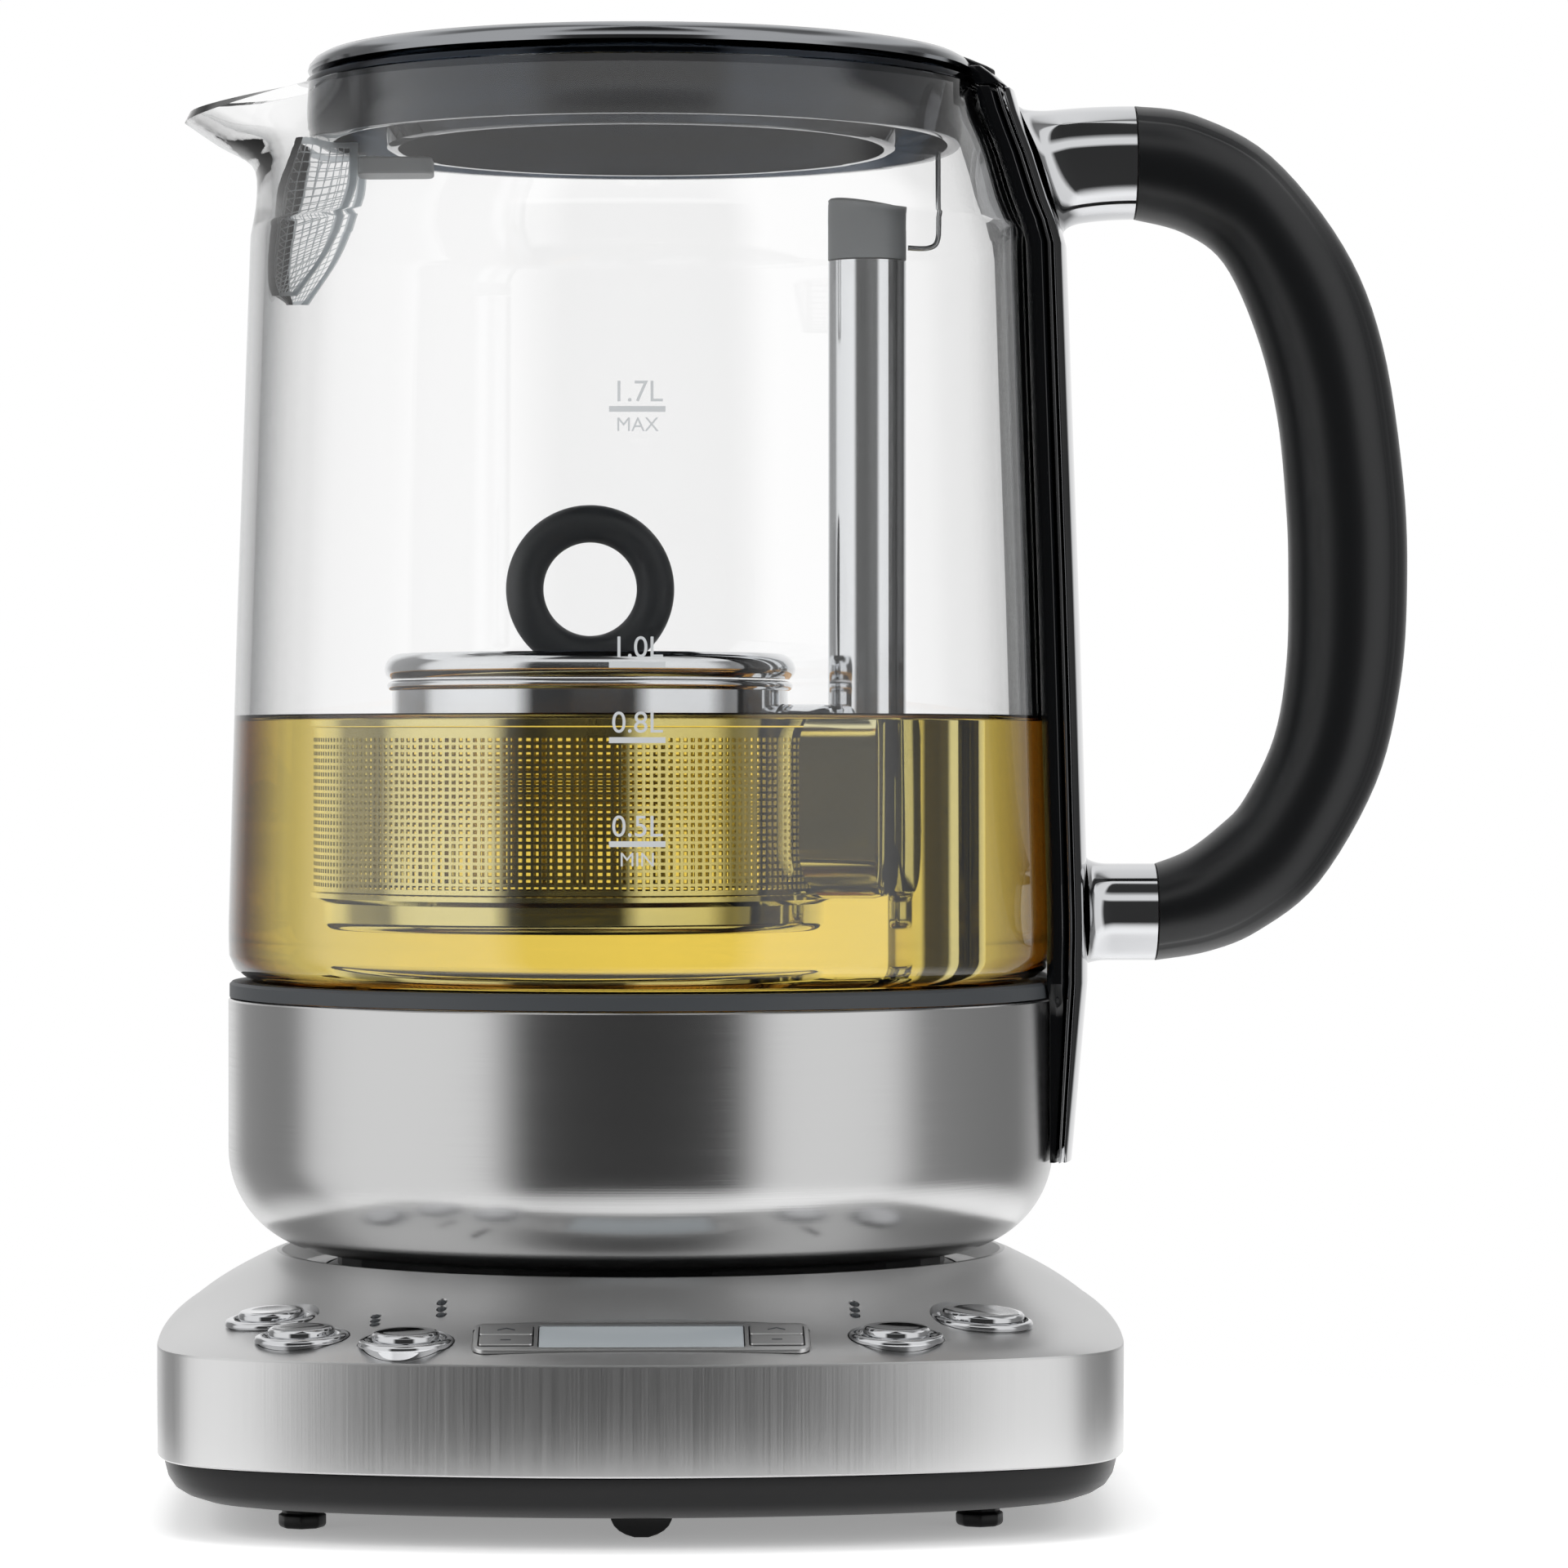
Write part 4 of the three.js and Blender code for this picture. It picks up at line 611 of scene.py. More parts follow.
arrow = [(-1.5, -0.55), (0, 0.45), (1.5, -0.55), (1.5, -0.05), (0, 0.95), (-1.5, -0.05)]
dash = [(-0.9, -0.2), (0.9, -0.2), (0.9, 0.2), (-0.9, 0.2)]
for side, side_name in ((-1, "left"), (1, "right")):
    for row, row_name in ((1, "up"), (-1, "down")):
        seat = shifted(panel_seat, side * key_x, row * key_y)
        pad = slab(key_width, key_depth, 0.5, [(-2, 0), (0.55, 0), (0.7, 0.15)], seat)
        node = f"key_{side_name}_{row_name}"
        renew(node, pad, steel_satin)
        mark = flat_print(arrow if row > 0 else dash, shifted(seat, 0, 0, 0.68))
        keep(f"{node}_print", mark, ink_dark, f"{node}_cap")
print("points of the arrow and the dash:", len(arrow), len(dash))

# %% [markdown]
# Three columns of lights shine through the slope by clear pins. They are off in the picture, so the
# pins look dark. The pins end a hair above the steel.

# %% Lights
for number, (seat, side) in enumerate(zip(dot_seats, ["left"] * 6 + ["right"] * 3)):
    pin = seated([(0, -7), (0.75, -7), (0.75, 0.1), (0.6, 0.25), (0, 0.3)], seat, steps=24)
    keep(f"light_pin_{number}", pin, ink_dark, "base", [f"light_guide_{side}"])
print("lights:", len(dot_seats))

# %% [markdown]
# The tray closes the base from below. It is moulded in black plastic and curves in under the skirt, so
# that the base seems to float a little over the table.

# %% Base tray
tray_bottom = 4.5
tray_top = skirt_bottom - 0.3
tray_rings = [outline_ring(mix(tray_bottom, tray_top, share), inset) for share, inset in (
    (0, 14), (0.03, 11), (0.12, 7.2), (0.26, 4.4), (0.4, 2.8), (0.6, 1.8), (0.85, 1.3), (1, 1.3))]
tray_rings += [outline_ring(tray_top, 3.3), outline_ring(tray_bottom + 2, 14)]
renew("base_tray", lofted(tray_rings), abs_black)
print("tray from", tray_bottom, "to", tray_top, "mm")

# %% [markdown]
# The lower part of the jug is a deep drawn steel shell, brushed on a lathe, with a round lower edge. A
# grey silicone ring seals it to the glass.

# %% Jug shell and its seal
shell_radius = 75.5
shell_bottom = 44.3
shell_corner = 18.5
shell_top = 90.2
corner_r = shell_radius - shell_corner
corner_z = shell_bottom + shell_corner
shell = turned([
    *arc(corner_r, corner_z, shell_corner, -90, 0, 24),
    (shell_radius, shell_top - 0.3), (shell_radius - 0.3, shell_top), (shell_radius - 1, shell_top),
    *arc(corner_r, corner_z, shell_corner - 1, 0, -90, 12),
], steps=192)
renew("jug_shell", shell, steel_round)
seal = turned([(71.2, 90.5), (75.3, 90.5), (75.3, 92.8), (74.8, 93.3), (71.2, 93.3)], steps=192)
renew("seal_ring", seal, silicone_grey)
print("shell height in mm:", round(shell_top - shell_bottom, 1))

# %% [markdown]
# The glass is blown, and while it is soft the rim is drawn out into the spout. So it is made of rings: in
# the neck each ring is pulled towards the spout by a cosine share, which fades over 34 degrees to each
# side. The inner wall runs 2.8 mm inside the outer one.

# %% Glass body
glass_wall = 2.8
spout_half_angle = math.radians(34)
glass_steps = 192
foot_outer = [(69.6, 93.6), (72.2, 94.0), (74.3, 95.6), (75.4, 98.1), (75.5, 101), (75.5, 104)]
side_outer = [(75.5, 104), (74, 157), (72.5, 200), (71.5, 229)]
neck_outer = [(71.5, 229), (69, 235), (66.3, 243.5), (63.6, 250.5), (62, 256)]
spout_outer = [(71.5, 229), (70.4, 236.5), (71.3, 242.4), (77.4, 246), (83.6, 250.2)]
neck_inner = [(r - glass_wall, z) for r, z in neck_outer]
spout_inner = [(68.7, 229), (67.6, 236.5), (68.5, 244.3), (75.5, 247.9), (82.65, 252.1)]

def glass_ring(point, pulled=None):
    ring = []
    for angle in turns(glass_steps):
        away = abs(angle - math.pi) / spout_half_angle
        pull = ((1 + math.cos(math.pi * away)) / 2) ** 1.3 if away < 1 else 0
        radius = mix(point[0], (pulled or point)[0], pull)
        height = mix(point[1], (pulled or point)[1], pull)
        ring.append(around(radius, angle, height))
    return ring

side_fine = smooth_line(side_outer, 6)
neck_fine, spout_fine, neck_in_fine, spout_in_fine = [
    smooth_line(line, 4) for line in (neck_outer, spout_outer, neck_inner, spout_inner)]
side_inner = [(r - glass_wall, z) for r, z in side_fine]
foot_inner = [(72.7, 104), (72.6, 99), (71.8, 96.6), (70.2, 95.4), (68.2, 95)]
glass_rings = [glass_ring(p) for p in [*foot_outer, *side_fine[1:]]]
glass_rings += [glass_ring(p, q) for p, q in zip(neck_fine[1:], spout_fine[1:])]
glass_rings += [glass_ring(p, q) for p, q in reversed(list(zip(neck_in_fine, spout_in_fine)))]
glass_rings += [glass_ring(p) for p in [*reversed(side_inner[:-1]), *foot_inner[1:]]]
renew("glass_body", lofted(glass_rings, joined=True), glass_clear, sharp=60)
print("glass rings:", len(glass_rings))

# %% [markdown]
# The tea touches the glass, and there is no air between them. Its side therefore lies a quarter of a
# millimetre inside the wall of the glass, so that a ray goes straight from one into the other. At the
# wall the surface climbs a little, as water does on glass.

# %% Tea in the jug
tea_level = 140.5
tea_overlap = 0.25
tea_profile = [(0, 90.3), (68.4, 90.3), (68.4, 95.2)]
tea_profile += [(r + tea_overlap, z) for r, z in reversed(foot_inner[:-1])]
tea_profile += [(r + tea_overlap, z) for r, z in side_inner if 104 < z < tea_level]
tea_edge = mix(75.5, 74, (tea_level - 104) / 53) - glass_wall + tea_overlap
tea_profile += [
    (tea_edge, tea_level + 1.1), (tea_edge - 0.7, tea_level + 0.4), (tea_edge - 2.2, tea_level),
    (0, tea_level)]
keep("tea", turned(tea_profile, steps=192), tea_finish, "jug", sharp=60)
print("tea level in mm:", tea_level)

# %% [markdown]
# The level marks are fired on the glass in grey ink: a bar for each volume and a number over it. They
# are written flat and then wrapped on the wall, each point by its distance from the middle of the print.

# %% Level marks
def side_radius(height):
    line = [*foot_outer, *side_fine[1:], *neck_fine[1:]]
    above = next((i for i, (_, z) in enumerate(line) if z >= height), len(line) - 1)
    (r0, z0), (r1, z1) = line[above - 1], line[above]
    return mix(r0, r1, (height - z0) / (z1 - z0))

def wrapped(bm, x, height):
    for vert in bm.verts:
        z = height + vert.co.y / mm
        radius = side_radius(z) + 0.06 + vert.co.z / mm
        angle = (x + vert.co.x / mm) / radius
        vert.co = at(radius * math.sin(angle), -radius * math.cos(angle), z)
    bmesh.ops.recalc_face_normals(bm, faces=bm.faces[:])
    return bm

def words_mesh(words, size):
    curve = bpy.data.curves.new("words", "FONT")
    curve.body = words
    curve.size = size * mm
    curve.extrude = 0.02 * mm
    curve.align_x = "CENTER"
    carrier = placed("words", curve)
    bm = bmesh.new()
    bm.from_mesh(finished_mesh(carrier))
    bpy.data.objects.remove(carrier)
    bmesh.ops.remove_doubles(bm, verts=bm.verts[:], dist=mm / 2000)
    return bm

mark_x = -0.7

def mark(name, bm, height):
    keep(f"mark_{name}", wrapped(bm, mark_x, height), ink_grey, "jug")

level_marks = {193.7: "1.7L", 149.8: "1.0L", 136.9: "0.8L", 119.1: "0.5L"}
for height, words in level_marks.items():
    bar = bmesh.new()
    bmesh.ops.create_grid(bar, x_segments=16, y_segments=1, size=0.5 * mm)
    bmesh.ops.scale(bar, vec=(9.7, 1, 1), verts=bar.verts[:])
    name = words.replace(".", "_")
    mark(f"bar_{name}", bar, height)
    mark(f"number_{name}", words_mesh(words, 5.2), height + 1.3)
for height, words in ((193.7, "MAX"), (119.1, "MIN")):
    mark(words.lower(), words_mesh(words, 3.4), height - 3.8)
print("marks at:", sorted(level_marks))

# %% [markdown]
# A collar of smoked plastic lines the neck, and the lid sits on it: a steel disc with a rolled rim over
# a smoked plug. On the handle's side the disc and the collar are cut away for the hook of the handle.

# %% Neck collar, lid and plug
collar = turned(
    [(56.2, 245.6), (58.6, 245.6), (58.6, 256.3), (61.4, 256.3), (61.4, 257.5), (56.2, 257.5)], width=0.2)
collar = renew("neck_collar", collar, smoke)
lid_bottom = 257.8
lid = turned([
    (0, lid_bottom), (58.5, lid_bottom), (60.7, 258.8), (61, 259.4), (60.8, 260.2), (60, 261.2),
    (58.8, 261.9), (57.6, 262), (56.9, 261.8), (56.2, 261.3), (0, 261.4)], steps=192)
lid = renew("lid_disc", lid, steel_dark)
plug = turned([
    (0, 256.2), (52, 256.2), (52, 252.4), (46.6, 251.4), (44.6, 246.4), (44.6, 245.1), (46, 245.1),
    (46.6, 245.4), (48.5, 249.5), (54, 250.5), (54, 252.4), (55.7, 253.3), (55.7, 254.3), (54, 254.3),
    (54, 257.5), (0, 257.5)], steps=160)
renew("lid_plug", plug, smoke)
notch_x = 56.4
notch_width = 19.2

def upright(x, y, z):
    return Matrix.Translation(at(x, y, z))

for piece in (collar, lid):
    cut_with(piece, [slab(16, notch_width, 1, [(0, 0), (10, 0)], upright(notch_x + 8, 0, 256.0))])
print("lid faces:", len(lid.data.polygons))

# %% [markdown]
# A small dark tab stands at the edge of the lid, where a finger lifts it.

# %% Lid tab
tab = slab(3.2, 13, 1.2, [(0, 0), (1.5, 0), (1.7, 0.25)], upright(53.6, 0, 261.3))
tab = keep("lid_tab", tab, abs_black, "lid")
print("tab faces:", len(tab.data.polygons))

# %% [markdown]
# The column is a thin steel tube with a foot. A magnet climbs inside it and takes the infuser along. Its
# plastic cap is cut at a slant, and a wire runs from the cap to the collar and keeps the column upright.

# %% Column, cap and stay
column_foot = 90.9
column_top = 225.0
column = turned([
    (6.5, 89.7), (10, 89.7), (10, column_foot), (7.2, column_foot), (7.2, column_top), (6.5, column_top)],
    x=column_x, steps=64)
keep("lift_column_fine", column, steel_polished, "jug", ["lift_column"])

def cap_ring(low, high, radius):
    ring = []
    for angle in turns(64):
        height = mix(low, high, (1 - math.cos(angle)) / 2)
        ring.append(around(radius, angle, height, column_x))
    return ring

column_cap = lofted([cap_ring(column_top + low, column_top + high, radius) for low, high, radius in (
    (0.3, 0.3, 7.2), (9.1, 10.9, 7.2), (9.5, 11.3, 6.8), (9.6, 11.4, 6.2))])
renew("column_cap", column_cap, abs_grey)
wire_line = smooth_line([(7.5, 227.6), (11.4, 227.6), (13.1, 229.4), (13.2, 236), (13.2, 245.3)], 6)
wire_radius = 0.5
wire_rings = []
for i, point in enumerate(wire_line):
    along = (wire_line[min(i + 1, len(wire_line) - 1)] - wire_line[max(i - 1, 0)]).normalized()
    across = Vector((-along.y, along.x))
    ring = []
    for angle in turns(12):
        spot = point + across * wire_radius * math.cos(angle)
        ring.append(at(spot.x, wire_radius * math.sin(angle), spot.y, column_x))
    wire_rings.append(ring)
keep("column_stay_fine", lofted(wire_rings), steel_polished, "jug", ["column_stay"])
print("column height in mm:", column_top - column_foot)

# %% [markdown]
# The infuser is a steel basket: a rolled rim, a pressed pan below, and a perforated band between them.

# %% Infuser rim and pan
screen_radius = 36.3
rim = turned([
    (35.4, 139.3), (36.3, 139.3), (36.3, 146.2), *arc(36.3, 147.1, 0.9, -90, 90, 8), (35.4, 148)],
    x=infuser_x)
renew("infuser_rim", rim, steel_polished)
pan = turned([
    (0, 102.4), (30.9, 102.4), *arc(32.7, 104.2, 1.8, -90, 0, 6), (34.5, 107.2), (36.3, 108.1), (36.3, 109),
    (33.6, 109), (33.6, 104.2), (30, 103.3), (0, 103.3)], x=infuser_x)
renew("infuser_pan", pan, steel_polished)
print("basket radius in mm:", screen_radius)

# %% [markdown]
# The band is etched sheet with rows of tiny holes. A circle is extruded upwards in steps of one hole. Then
# every cell is inset, the middle of each inset is deleted, and what stays is thickened into sheet. Real
# holes are about 0.5 mm wide with a pitch of 1 mm; here the pitch is 1.25 mm, so that fewer faces do.

# %% Perforated band
def perforated(bm, cells, bar, thickness):
    bmesh.ops.inset_individual(bm, faces=cells, thickness=bar * mm)
    bmesh.ops.delete(bm, geom=cells, context="FACES")
    bmesh.ops.recalc_face_normals(bm, faces=bm.faces[:])
    bmesh.ops.solidify(bm, geom=bm.faces[:], thickness=thickness * mm)
    return bm

hole_pitch = 1.25
screen_low = 109.3
screen_high = 139.0
hole_columns = round(2 * math.pi * screen_radius / hole_pitch)
hole_rows = 23
screen = bmesh.new()
bmesh.ops.create_circle(
    screen, segments=hole_columns, radius=(screen_radius - 0.45) * mm,
    matrix=Matrix.Translation(at(0, 0, screen_low, infuser_x)))
edges = screen.edges[:]
first_row = screen_low + 0.6
levels = [*[first_row + hole_pitch * i for i in range(hole_rows)], screen_high]
height = screen_low
cells = []
for i, level in enumerate(levels):
    verts, edges, faces = extruded(screen, edges)
    if 0 < i < len(levels) - 1:
        cells += faces
    bmesh.ops.translate(screen, vec=(0, 0, (level - height) * mm), verts=list(verts))
    height = level
hole_count = len(cells)
renew("infuser_screen", perforated(screen, cells, 0.36, 0.35), steel_polished)
print("holes:", hole_count)

# %% [markdown]
# The basket's lid is a pressed disc, and it is lifted by a ring of silicone on a short stem.

# %% Infuser lid and knob
infuser_lid = turned([
    (0, 150.4), (7, 150.4), (9, 149.2), (28, 149.2), (34.9, 148.3), (36.7, 148.3), (37.5, 149.2),
    (37.7, 150.2), (37.4, 151.4), (36.7, 152.3), (35.7, 152.9), (34.7, 152.8), (33.7, 152.4), (31, 151),
    (28, 150.2), (9, 150.2), (8, 151.4), (0, 151.4)], x=infuser_x, steps=160)
renew("infuser_lid", infuser_lid, steel_polished)
knob_height = 164.9
knob = bmesh.new()
bmesh.ops.create_circle(
    knob, segments=32, radius=3.45 * mm, matrix=Matrix.Translation(at(12, 0, knob_height, infuser_x)))
bmesh.ops.spin(
    knob, geom=knob.verts[:] + knob.edges[:], cent=at(0, 0, knob_height, infuser_x), axis=(0, 1, 0),
    angle=2 * math.pi, steps=96, use_merge=True)
bmesh.ops.recalc_face_normals(knob, faces=knob.faces[:])
renew("infuser_knob", knob, silicone_grey)
stem = turned(
    [(0, 151.7), (4.2, 151.7), (3.6, 152.4), (2.8, 153.6), (2.5, 155), (0, 155)], x=infuser_x, steps=48)
keep("infuser_knob_stem", stem, silicone_grey, "infuser_cover")
print("middle of the ring over the lid in mm:", round(knob_height - 151.4, 1))

# %% [markdown]
# The magnet that follows the one in the column sits in a steel housing on the side of the basket. It is
# a rounded block, hollowed on one side for the basket and on the other for the column.

# %% Magnet housing
def cylinder(x, radius, low, high):
    return turned([(0, low), (radius, low), (radius, high), (0, high)], x=x, steps=128)

housing_seat = upright(20.9, 0, 126) @ Matrix.Rotation(math.radians(90), 4, "Y")
housing = slab(35.6, 34, 9, [(0, 0), (12.4, 0), (13.6, 0.35), (14.1, 1.2)], housing_seat)
housing = keep(
    "infuser_sleeve_fine", housing, steel_polished, "infuser", ["infuser_sleeve"])
cut_with(housing, [cylinder(infuser_x, 36.6, 100, 150), cylinder(column_x, 7.7, 100, 150)])
print("housing faces:", len(housing.data.polygons))

# %% [markdown]
# The filter hangs in the throat of the spout and keeps leaves back. Four rails, dark outside and pale
# inside, carry a perforated strip towards the spout and a fine pale mesh on each flank.

# %% Spout filter
filter_outer = smooth_line([(-60.8, 245.3), (-65.0, 236), (-66.9, 228), (-67.2, 221), (-66.4, 217.8)], 6)
filter_inner = smooth_line([(-51.6, 245.3), (-51.8, 238.4), (-54, 232), (-57, 225.5), (-62.5, 217.8)], 6)
filter_half = 10.6

def filter_point(line, i, y, inward=0.0):
    other = filter_inner if line is filter_outer else filter_outer
    place = line[i] + (other[i] - line[i]).normalized() * inward
    return at(place.x, y, place.y)

def sheet(rows):
    bm = bmesh.new()
    bmesh.ops.create_grid(bm, x_segments=len(rows[0]) - 1, y_segments=len(rows) - 1, size=mm)
    for vert, place in zip(bm.verts, [place for row in rows for place in row]):
        vert.co = place
    bm.normal_update()
    return bm

def inner_faces(bm):
    return [f for f in bm.faces if not any(e.is_boundary for e in f.edges)]

stations = range(len(filter_outer))
widths = [mix(-filter_half, filter_half, j / 17) for j in range(18)]
strip = sheet([[filter_point(filter_outer, i, y) for y in widths] for i in stations])
strip = perforated(strip, inner_faces(strip), 0.14, 0.3)
keep("filter_strip", strip, abs_black, "jug", ["spout_filter_mesh"])
rail_section = ((-0.3, 0.4), (1.1, 0.4), (1.1, -0.7), (-0.3, -0.7))
rails = ((filter_outer, "outer", abs_black), (filter_inner, "inner", mesh_pale))
for side, side_name in ((-1, "front"), (1, "rear")):
    rows = []
    for i in stations:
        first, last = [filter_point(line, i, side * filter_half) for line in (filter_outer, filter_inner)]
        rows.append([first.lerp(last, j / 9) for j in range(10)])
    flank = sheet(rows)
    flank = perforated(flank, inner_faces(flank), 0.1, 0.3)
    keep(f"filter_flank_{side_name}", flank, mesh_pale, "jug", ["spout_filter_frame"])
    for line, line_name, finish in rails:
        rings = [
            [filter_point(line, i, side * (filter_half + b), a) for a, b in rail_section] for i in stations]
        keep(f"filter_rail_{side_name}_{line_name}", lofted(rings), finish, "jug")
clip = slab(14, 11, 2, [(0, 0.3), (0.3, 0), (2.7, 0), (3, 0.3)], upright(-45.2, 0, 240.5))
keep("filter_clip", clip, abs_grey, "jug")
print("filter stations:", len(filter_outer))

# %% [markdown]
# Three nested bands follow the jug's side: a glossy black one, a thin chrome line, and a broad chrome
# cover that the handle grows from. They are moulded and plated pieces that thin out towards the tip. Each
# is a loft of slices from the tip up, and a slice is an arc outside and an arc inside.

# %% Bands of the handle
band_bottom = 60.6
band_top = 255.7
band_gap = 0.45
band_thickness = 3.2
trim_thickness = 0.6
cover_thickness = 1.6
piece_gap = 0.3
tip_share = 0.46
taper_top = 93.3
glass_foot = 98.2

def offsets_at(height):
    fill = mix(tip_share, 1, min((height - band_bottom) / (taper_top - band_bottom), 1))
    band_out = band_gap + band_thickness * fill
    trim_out = band_out + piece_gap + trim_thickness * fill
    return {
        "band": (band_gap, band_out), "trim": (band_out + piece_gap, trim_out),
        "cover": (trim_out + piece_gap, trim_out + piece_gap + cover_thickness * fill)}

def band_slice(height, inner, outer, half_angle, drop):
    radius = side_radius(max(height, glass_foot))
    shares = [i / 12 for i in range(-12, 13)]
    angles = [math.radians(share * half_angle) for share in shares]
    outside = [around(radius + outer - drop * s ** 4, a, height) for s, a in zip(shares, angles)]
    return outside + [around(radius + inner, a, height) for a in reversed(angles)]

def band_piece(layer, half_angle_at, drop):
    heights = [band_bottom + (band_top - band_bottom) * i / 48 for i in range(49)]
    slices = [band_slice(z, *offsets_at(z)[layer], half_angle_at(z), drop) for z in heights]
    return soften(lofted(slices), 0.12, 50)

renew("handle_bracket", band_piece("band", lambda z: 15.2 if z > 90 else 12.9, 0.5), gloss_black)
renew("bracket_trim", band_piece("trim", lambda z: 13.6, 0.05), chrome)
renew("bracket_cover", band_piece("cover", lambda z: 12.2, 0.3), chrome)
print("the cover's outside at the top in mm:", round(offsets_at(band_top)["cover"][1], 2))

# %% [markdown]
# A black cap closes the bands at the top and reaches over the rim as a hook, which holds the handle.

# %% Cap and hook
cap_slices = [band_slice(z, band_gap, outer, 15.2, drop) for z, outer, drop in (
    (256.0, 3.6, 0.4), (256.2, 5.6, 0.4), (258, 4.2, 0.4), (259.4, 2.6, 0.3))]
cap_piece = soften(lofted(cap_slices), 0.2, 40)
keep("bracket_cap", cap_piece, gloss_black, "jug")
hook_line = [(57, 256.7), (64.5, 256.7), (64.5, 259.4), (63, 260.2), (59, 261.8), (57, 262.1)]
hook = lofted([[at(x, y, z) for x, z in hook_line] for y in (-9, 9)])
keep("bracket_hook", soften(hook, 0.4, 20), gloss_black, "jug")
print("hook reaches in to x =", hook_line[0][0], "mm")

# %% [markdown]
# Two chrome sleeves stand between the cover and the grip. They are plated in one with the cover, so
# each flares out at its root in a fillet.

# %% Chrome sleeves
flare = 1.9
sleeve_half_width = 10.5

def sleeve(centre, height, end, root_drop):
    reach = offsets_at(band_top)["cover"][1] - 0.3
    rings = []
    for i in range(21):
        share = i / 20
        near = max(1 - share * 3, 0)
        grow = flare * (1 - math.sqrt(1 - near * near))
        middle = centre - root_drop * (1 - share) ** 2
        ring = []
        for angle in turns(64):
            z = middle + (height / 2 + grow) * math.sin(angle)
            y = (sleeve_half_width + grow) * math.cos(angle)
            ring.append(at(mix(side_radius(z) + reach, end, share), y, z))
        rings.append(ring)
    return lofted(rings)

renew("upper_sleeve", sleeve(243.4, 20.8, 90.4, 1.6), chrome)
renew("lower_sleeve", sleeve(105.7, 17.8, 94.2, 0), chrome)
print("sleeve width in mm:", 2 * sleeve_half_width)

# %% [markdown]
# The grip is moulded in two shells that meet in a fine line along the flank. Its side view is drawn by
# an outer and an inner line; at every station an oval is laid between the two.

# %% Handle grip
grip_outer = [
    (90.7, 253.8), (101.6, 252.2), (115.7, 244.7), (129.1, 228.2), (136.3, 210.2), (140.2, 185),
    (140.9, 165.2), (139.6, 147.2), (135.1, 129.2), (124.7, 111.2), (113.5, 102.2), (104.2, 98.4),
    (94.5, 96.8)]
grip_inner = [
    (90.7, 233), (99.7, 230.6), (107.2, 225), (113.2, 212), (117, 197), (118.7, 180), (119.1, 168),
    (118.8, 152), (116.5, 138), (111, 126.5), (106.5, 121.6), (100.4, 117), (94.5, 114.6)]
grip_half_width = 11.0
grip_sides = 96
seam_at = (12, 84)
seam_dip = 0.97
grip_rings = []
for outer, inner in zip(smooth_line(grip_outer, 6), smooth_line(grip_inner, 6)):
    centre = (outer + inner) / 2
    half = (outer - inner) / 2
    ring = []
    for i, angle in enumerate(turns(grip_sides)):
        dip = seam_dip if i in seam_at else 1
        place = centre + half * math.cos(angle) * dip
        ring.append(at(place.x, grip_half_width * math.sin(angle) * dip, place.y))
    grip_rings.append(ring)
renew("handle_grip", lofted(grip_rings), grip_black, sharp=50)
print("grip stations:", len(grip_rings))

# %% [markdown]
# Some pieces of the plain model stay as they are, because nobody sees them with the tea maker closed.
# They get the finish that belongs to their material.

# %% Finishes of the plain pieces that stay
slot_finish = {
    "brushed_steel": steel_round, "polished_steel": steel_polished, "chrome": chrome,
    "black_plastic": abs_black, "soft_black": grip_black, "grey_plastic": abs_grey,
    "silicone": silicone_grey, "smoked_plastic": smoke, "clear_glass": glass_clear,
    "clear_plastic": lens_grey, "circuit_board": board_green,
}
for name, piece in frame["nodes"].items():
    piece.data.materials.clear()
    piece.data.materials.append(slot_finish[slot_of_node[name]])
print("plain pieces:", len(frame["nodes"]))

# %% [markdown]
# The picture was taken in a white room with dark cards beside the camera. The steel shows them: a dark
# band in the middle, white to both sides, and grey behind. So a mirrored ray sees grey levels that
# follow its direction round the object, and so does a ray that the glass has bent: it sees white behind
# the object and dark beside it, which draws the edges of the glass. The camera itself sees white.

# %% World
world = bpy.data.worlds.new("studio")
bpy.context.scene.world = world
world.use_nodes = True
back = world.node_tree.nodes["Background"]
split = add_node(world, "ShaderNodeSeparateXYZ", links={
    "Vector": add_node(world, "ShaderNodeTexCoord").outputs["Generated"]})

def feed(socket, value):
    if isinstance(value, bpy.types.NodeSocket):
        world.node_tree.links.new(value, socket)
    else:
        socket.default_value = value

def maths(kind, first, second=0.0):
    node = add_node(world, "ShaderNodeMath", {"operation": kind})
    feed(node.inputs[0], first)
    feed(node.inputs[1], second)
    return node.outputs[0]

def grey_ramp(position, stops):
    ramp = add_node(world, "ShaderNodeValToRGB", links={"Fac": position})
    elements = ramp.color_ramp.elements
    while len(elements) < len(stops):
        elements.new(0.5)
    for element, (place, level) in zip(elements, stops):
        element.position = place
        element.color = (level, level, level, 1)
    return ramp.outputs["Color"]

turn = maths("ARCTAN2", split.outputs["X"], maths("MULTIPLY", split.outputs["Y"], -1.0))
round_share = maths("ADD", maths("DIVIDE", turn, 2 * math.pi), 0.5)
mirrored = grey_ramp(round_share, [
    (0.0, 1.0), (0.06, 0.9), (0.10, 0.35), (0.19, 0.25), (0.22, 0.9), (0.26, 1.0), (0.38, 1.0),
    (0.41, 0.05), (0.5, 0.04), (0.57, 0.05), (0.60, 1.0), (0.70, 0.95), (0.735, 0.3), (0.86, 0.22),
    (0.93, 0.8), (1.0, 1.0)])
above = grey_ramp(
    split.outputs["Z"], [(0.0, 0.0), (0.5, 0.0), (0.58, 1.0), (0.72, 1.0), (0.84, 0.0), (1.0, 0.0)])

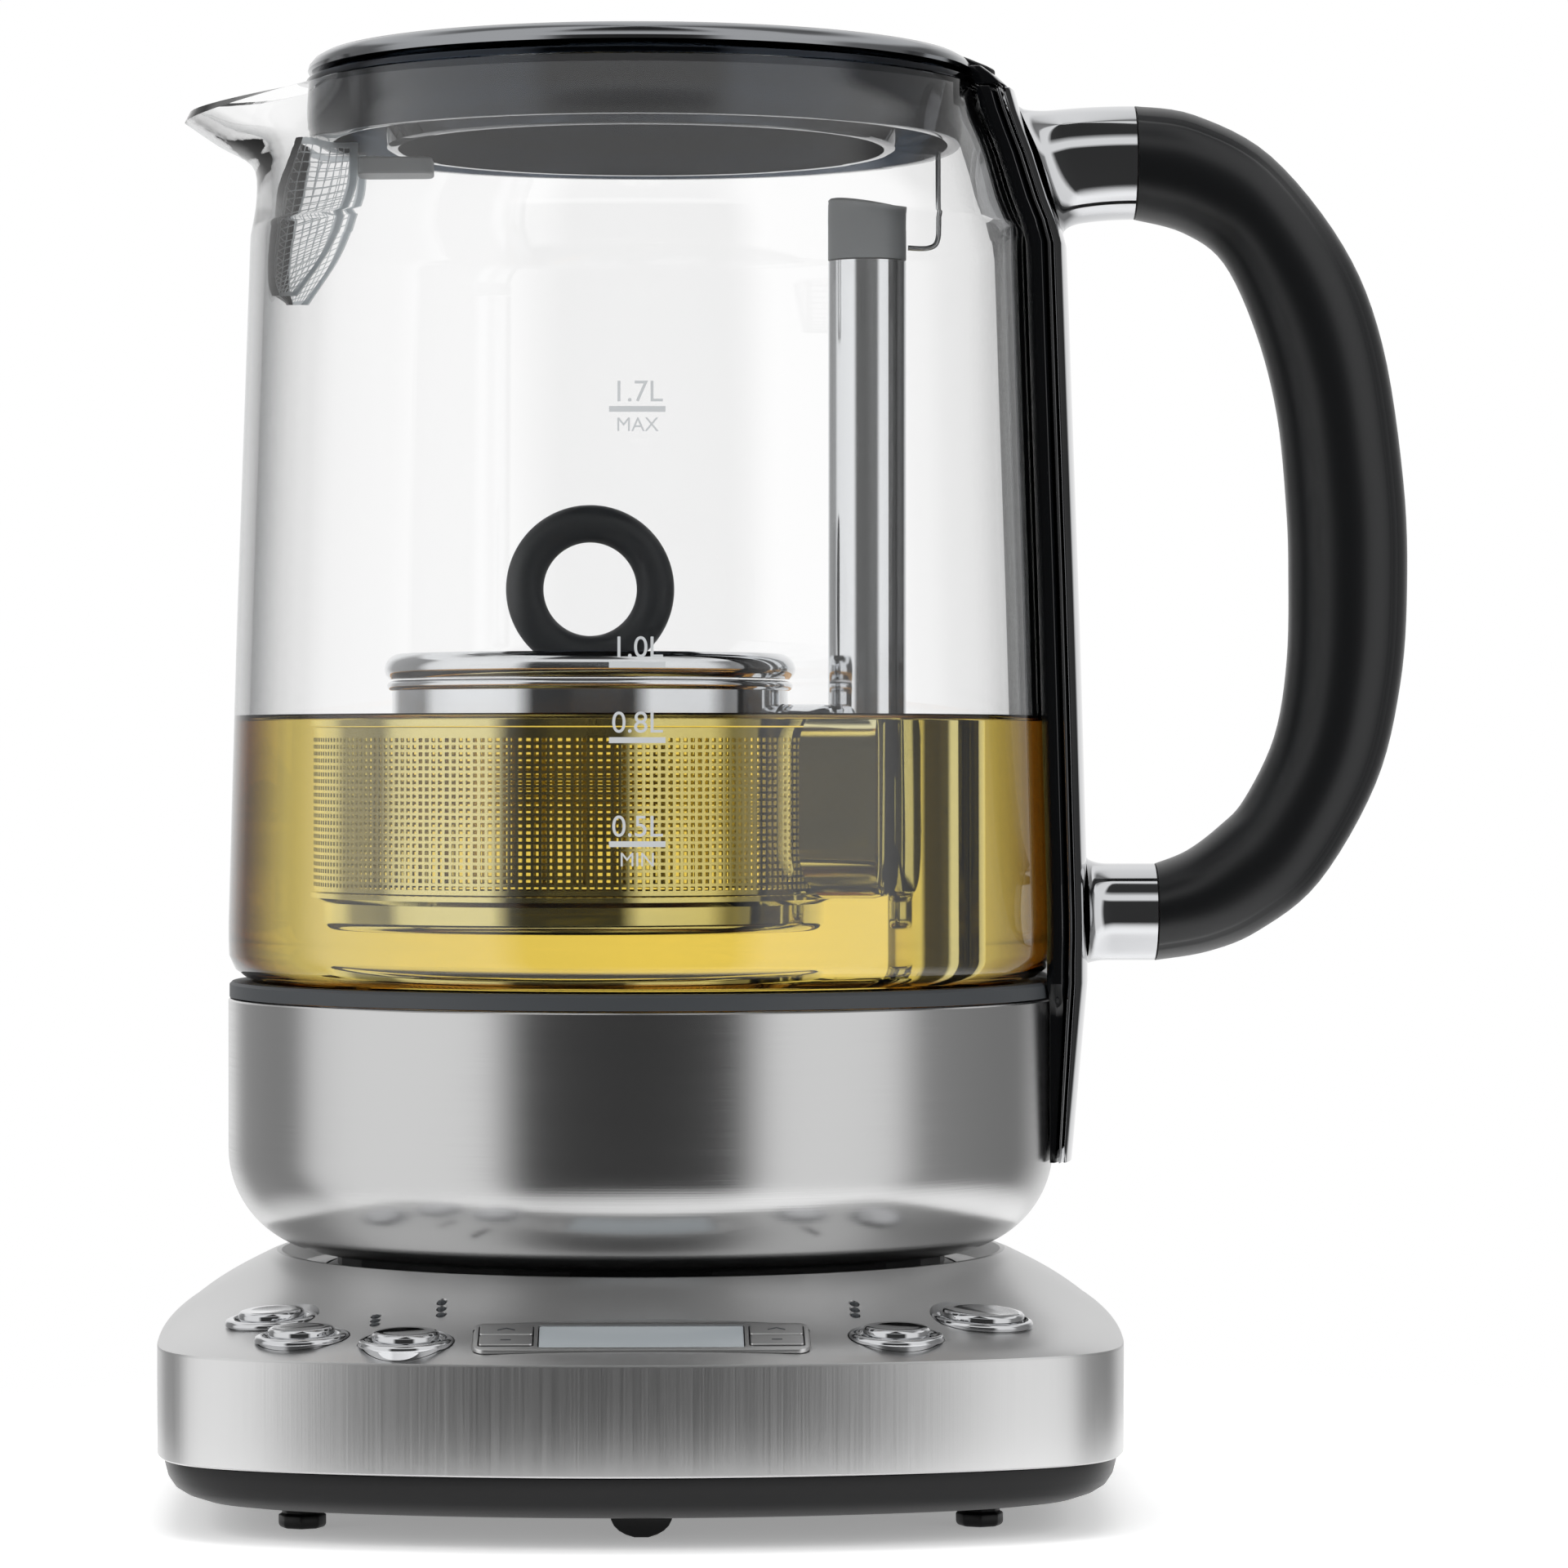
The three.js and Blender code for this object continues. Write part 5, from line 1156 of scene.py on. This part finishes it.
def blend(factor, first, second):
    node = add_node(world, "ShaderNodeMix", {"data_type": "RGBA"})
    for key, value in (("Factor", factor), ("A", first), ("B", second)):
        feed(next(s for s in node.inputs if s.name == key and s.enabled), value)
    return next(s for s in node.outputs if s.enabled)

white = (1, 1, 1, 1)
rays = add_node(world, "ShaderNodeLightPath").outputs
bent = maths("MAXIMUM", rays["Is Glossy Ray"], rays["Is Transmission Ray"])
room = blend(bent, (0.62, 0.62, 0.62, 1), blend(above, mirrored, white))
world.node_tree.links.new(blend(rays["Is Camera Ray"], room, white), back.inputs["Color"])
print("world nodes:", len(world.node_tree.nodes))

# %% [markdown]
# The floor is a sheet of white acrylic that glows a little, as on a light table. Near the object it
# takes the shadow, and further out it fades into the white behind it, so that no edge shows.

# %% Floor
floor_radius = 0.6
disc = bmesh.new()
bmesh.ops.create_circle(disc, cap_ends=True, segments=96, radius=floor_radius)
floor = placed("floor", mesh_from("floor", disc))
paper = new_finish("acrylic white", "#FAFAFA", 0.9, more={
    "Specular IOR Level": 0.1, "Emission Color": white, "Emission Strength": 0.3})
place = add_node(paper, "ShaderNodeTexCoord").outputs["Object"]
far = add_node(paper, "ShaderNodeVectorMath", {"operation": "LENGTH"}, links={0: place})
fade = add_node(
    paper, "ShaderNodeMapRange", {"interpolation_type": "SMOOTHSTEP"},
    {"From Min": 0.11, "From Max": 0.24, "To Min": 1.0, "To Max": 0.0}, {"Value": far.outputs["Value"]})
paper.node_tree.links.new(fade.outputs["Result"], paper.node_tree.nodes["Principled BSDF"].inputs["Alpha"])
floor.data.materials.append(paper)
print("floor radius in m:", floor_radius)

# %% [markdown]
# Three soft boxes light the scene: one on each side of the camera and a large one above.

# %% Lamps
def soft_lamp(name, place, size, watts):
    lamp = bpy.data.lights.new(name, "AREA")
    lamp.shape = "RECTANGLE"
    lamp.size, lamp.size_y = size
    lamp.energy = watts
    holder = placed(name, lamp)
    holder.location = place
    holder.rotation_euler = (Vector((0, 0, 0.13)) - Vector(place)).to_track_quat("-Z", "Y").to_euler()
    holder.visible_glossy = False
    holder.visible_transmission = False

soft_lamp("left box", (-0.9, -0.5, 0.5), (0.5, 0.9), 5)
soft_lamp("right box", (0.9, -0.6, 0.5), (0.4, 0.9), 4)
soft_lamp("top box", (0, 0.1, 1.1), (0.9, 0.9), 6)
print("lamps:", len(bpy.data.lights))

# %% [markdown]
# The camera stands 1.1 m in front of the jug's axis, at half the jug's height, with a long lens. The
# look of the picture comes from there: the base is seen a little from above and the lid edge on.

# %% Camera
camera = placed("camera", bpy.data.cameras.new("camera"))
bpy.context.scene.camera = camera
camera.data.lens = 137.5
camera.data.sensor_width = 36
camera.location = (jug_x, -1.1, 0.132)
aim = Vector((jug_x + 0.0262, 0, 0.1292))
camera.rotation_euler = (aim - camera.location).to_track_quat("-Z", "Y").to_euler()
bpy.context.scene.view_settings.view_transform = "Standard"
print("camera at:", [round(c, 3) for c in camera.location])
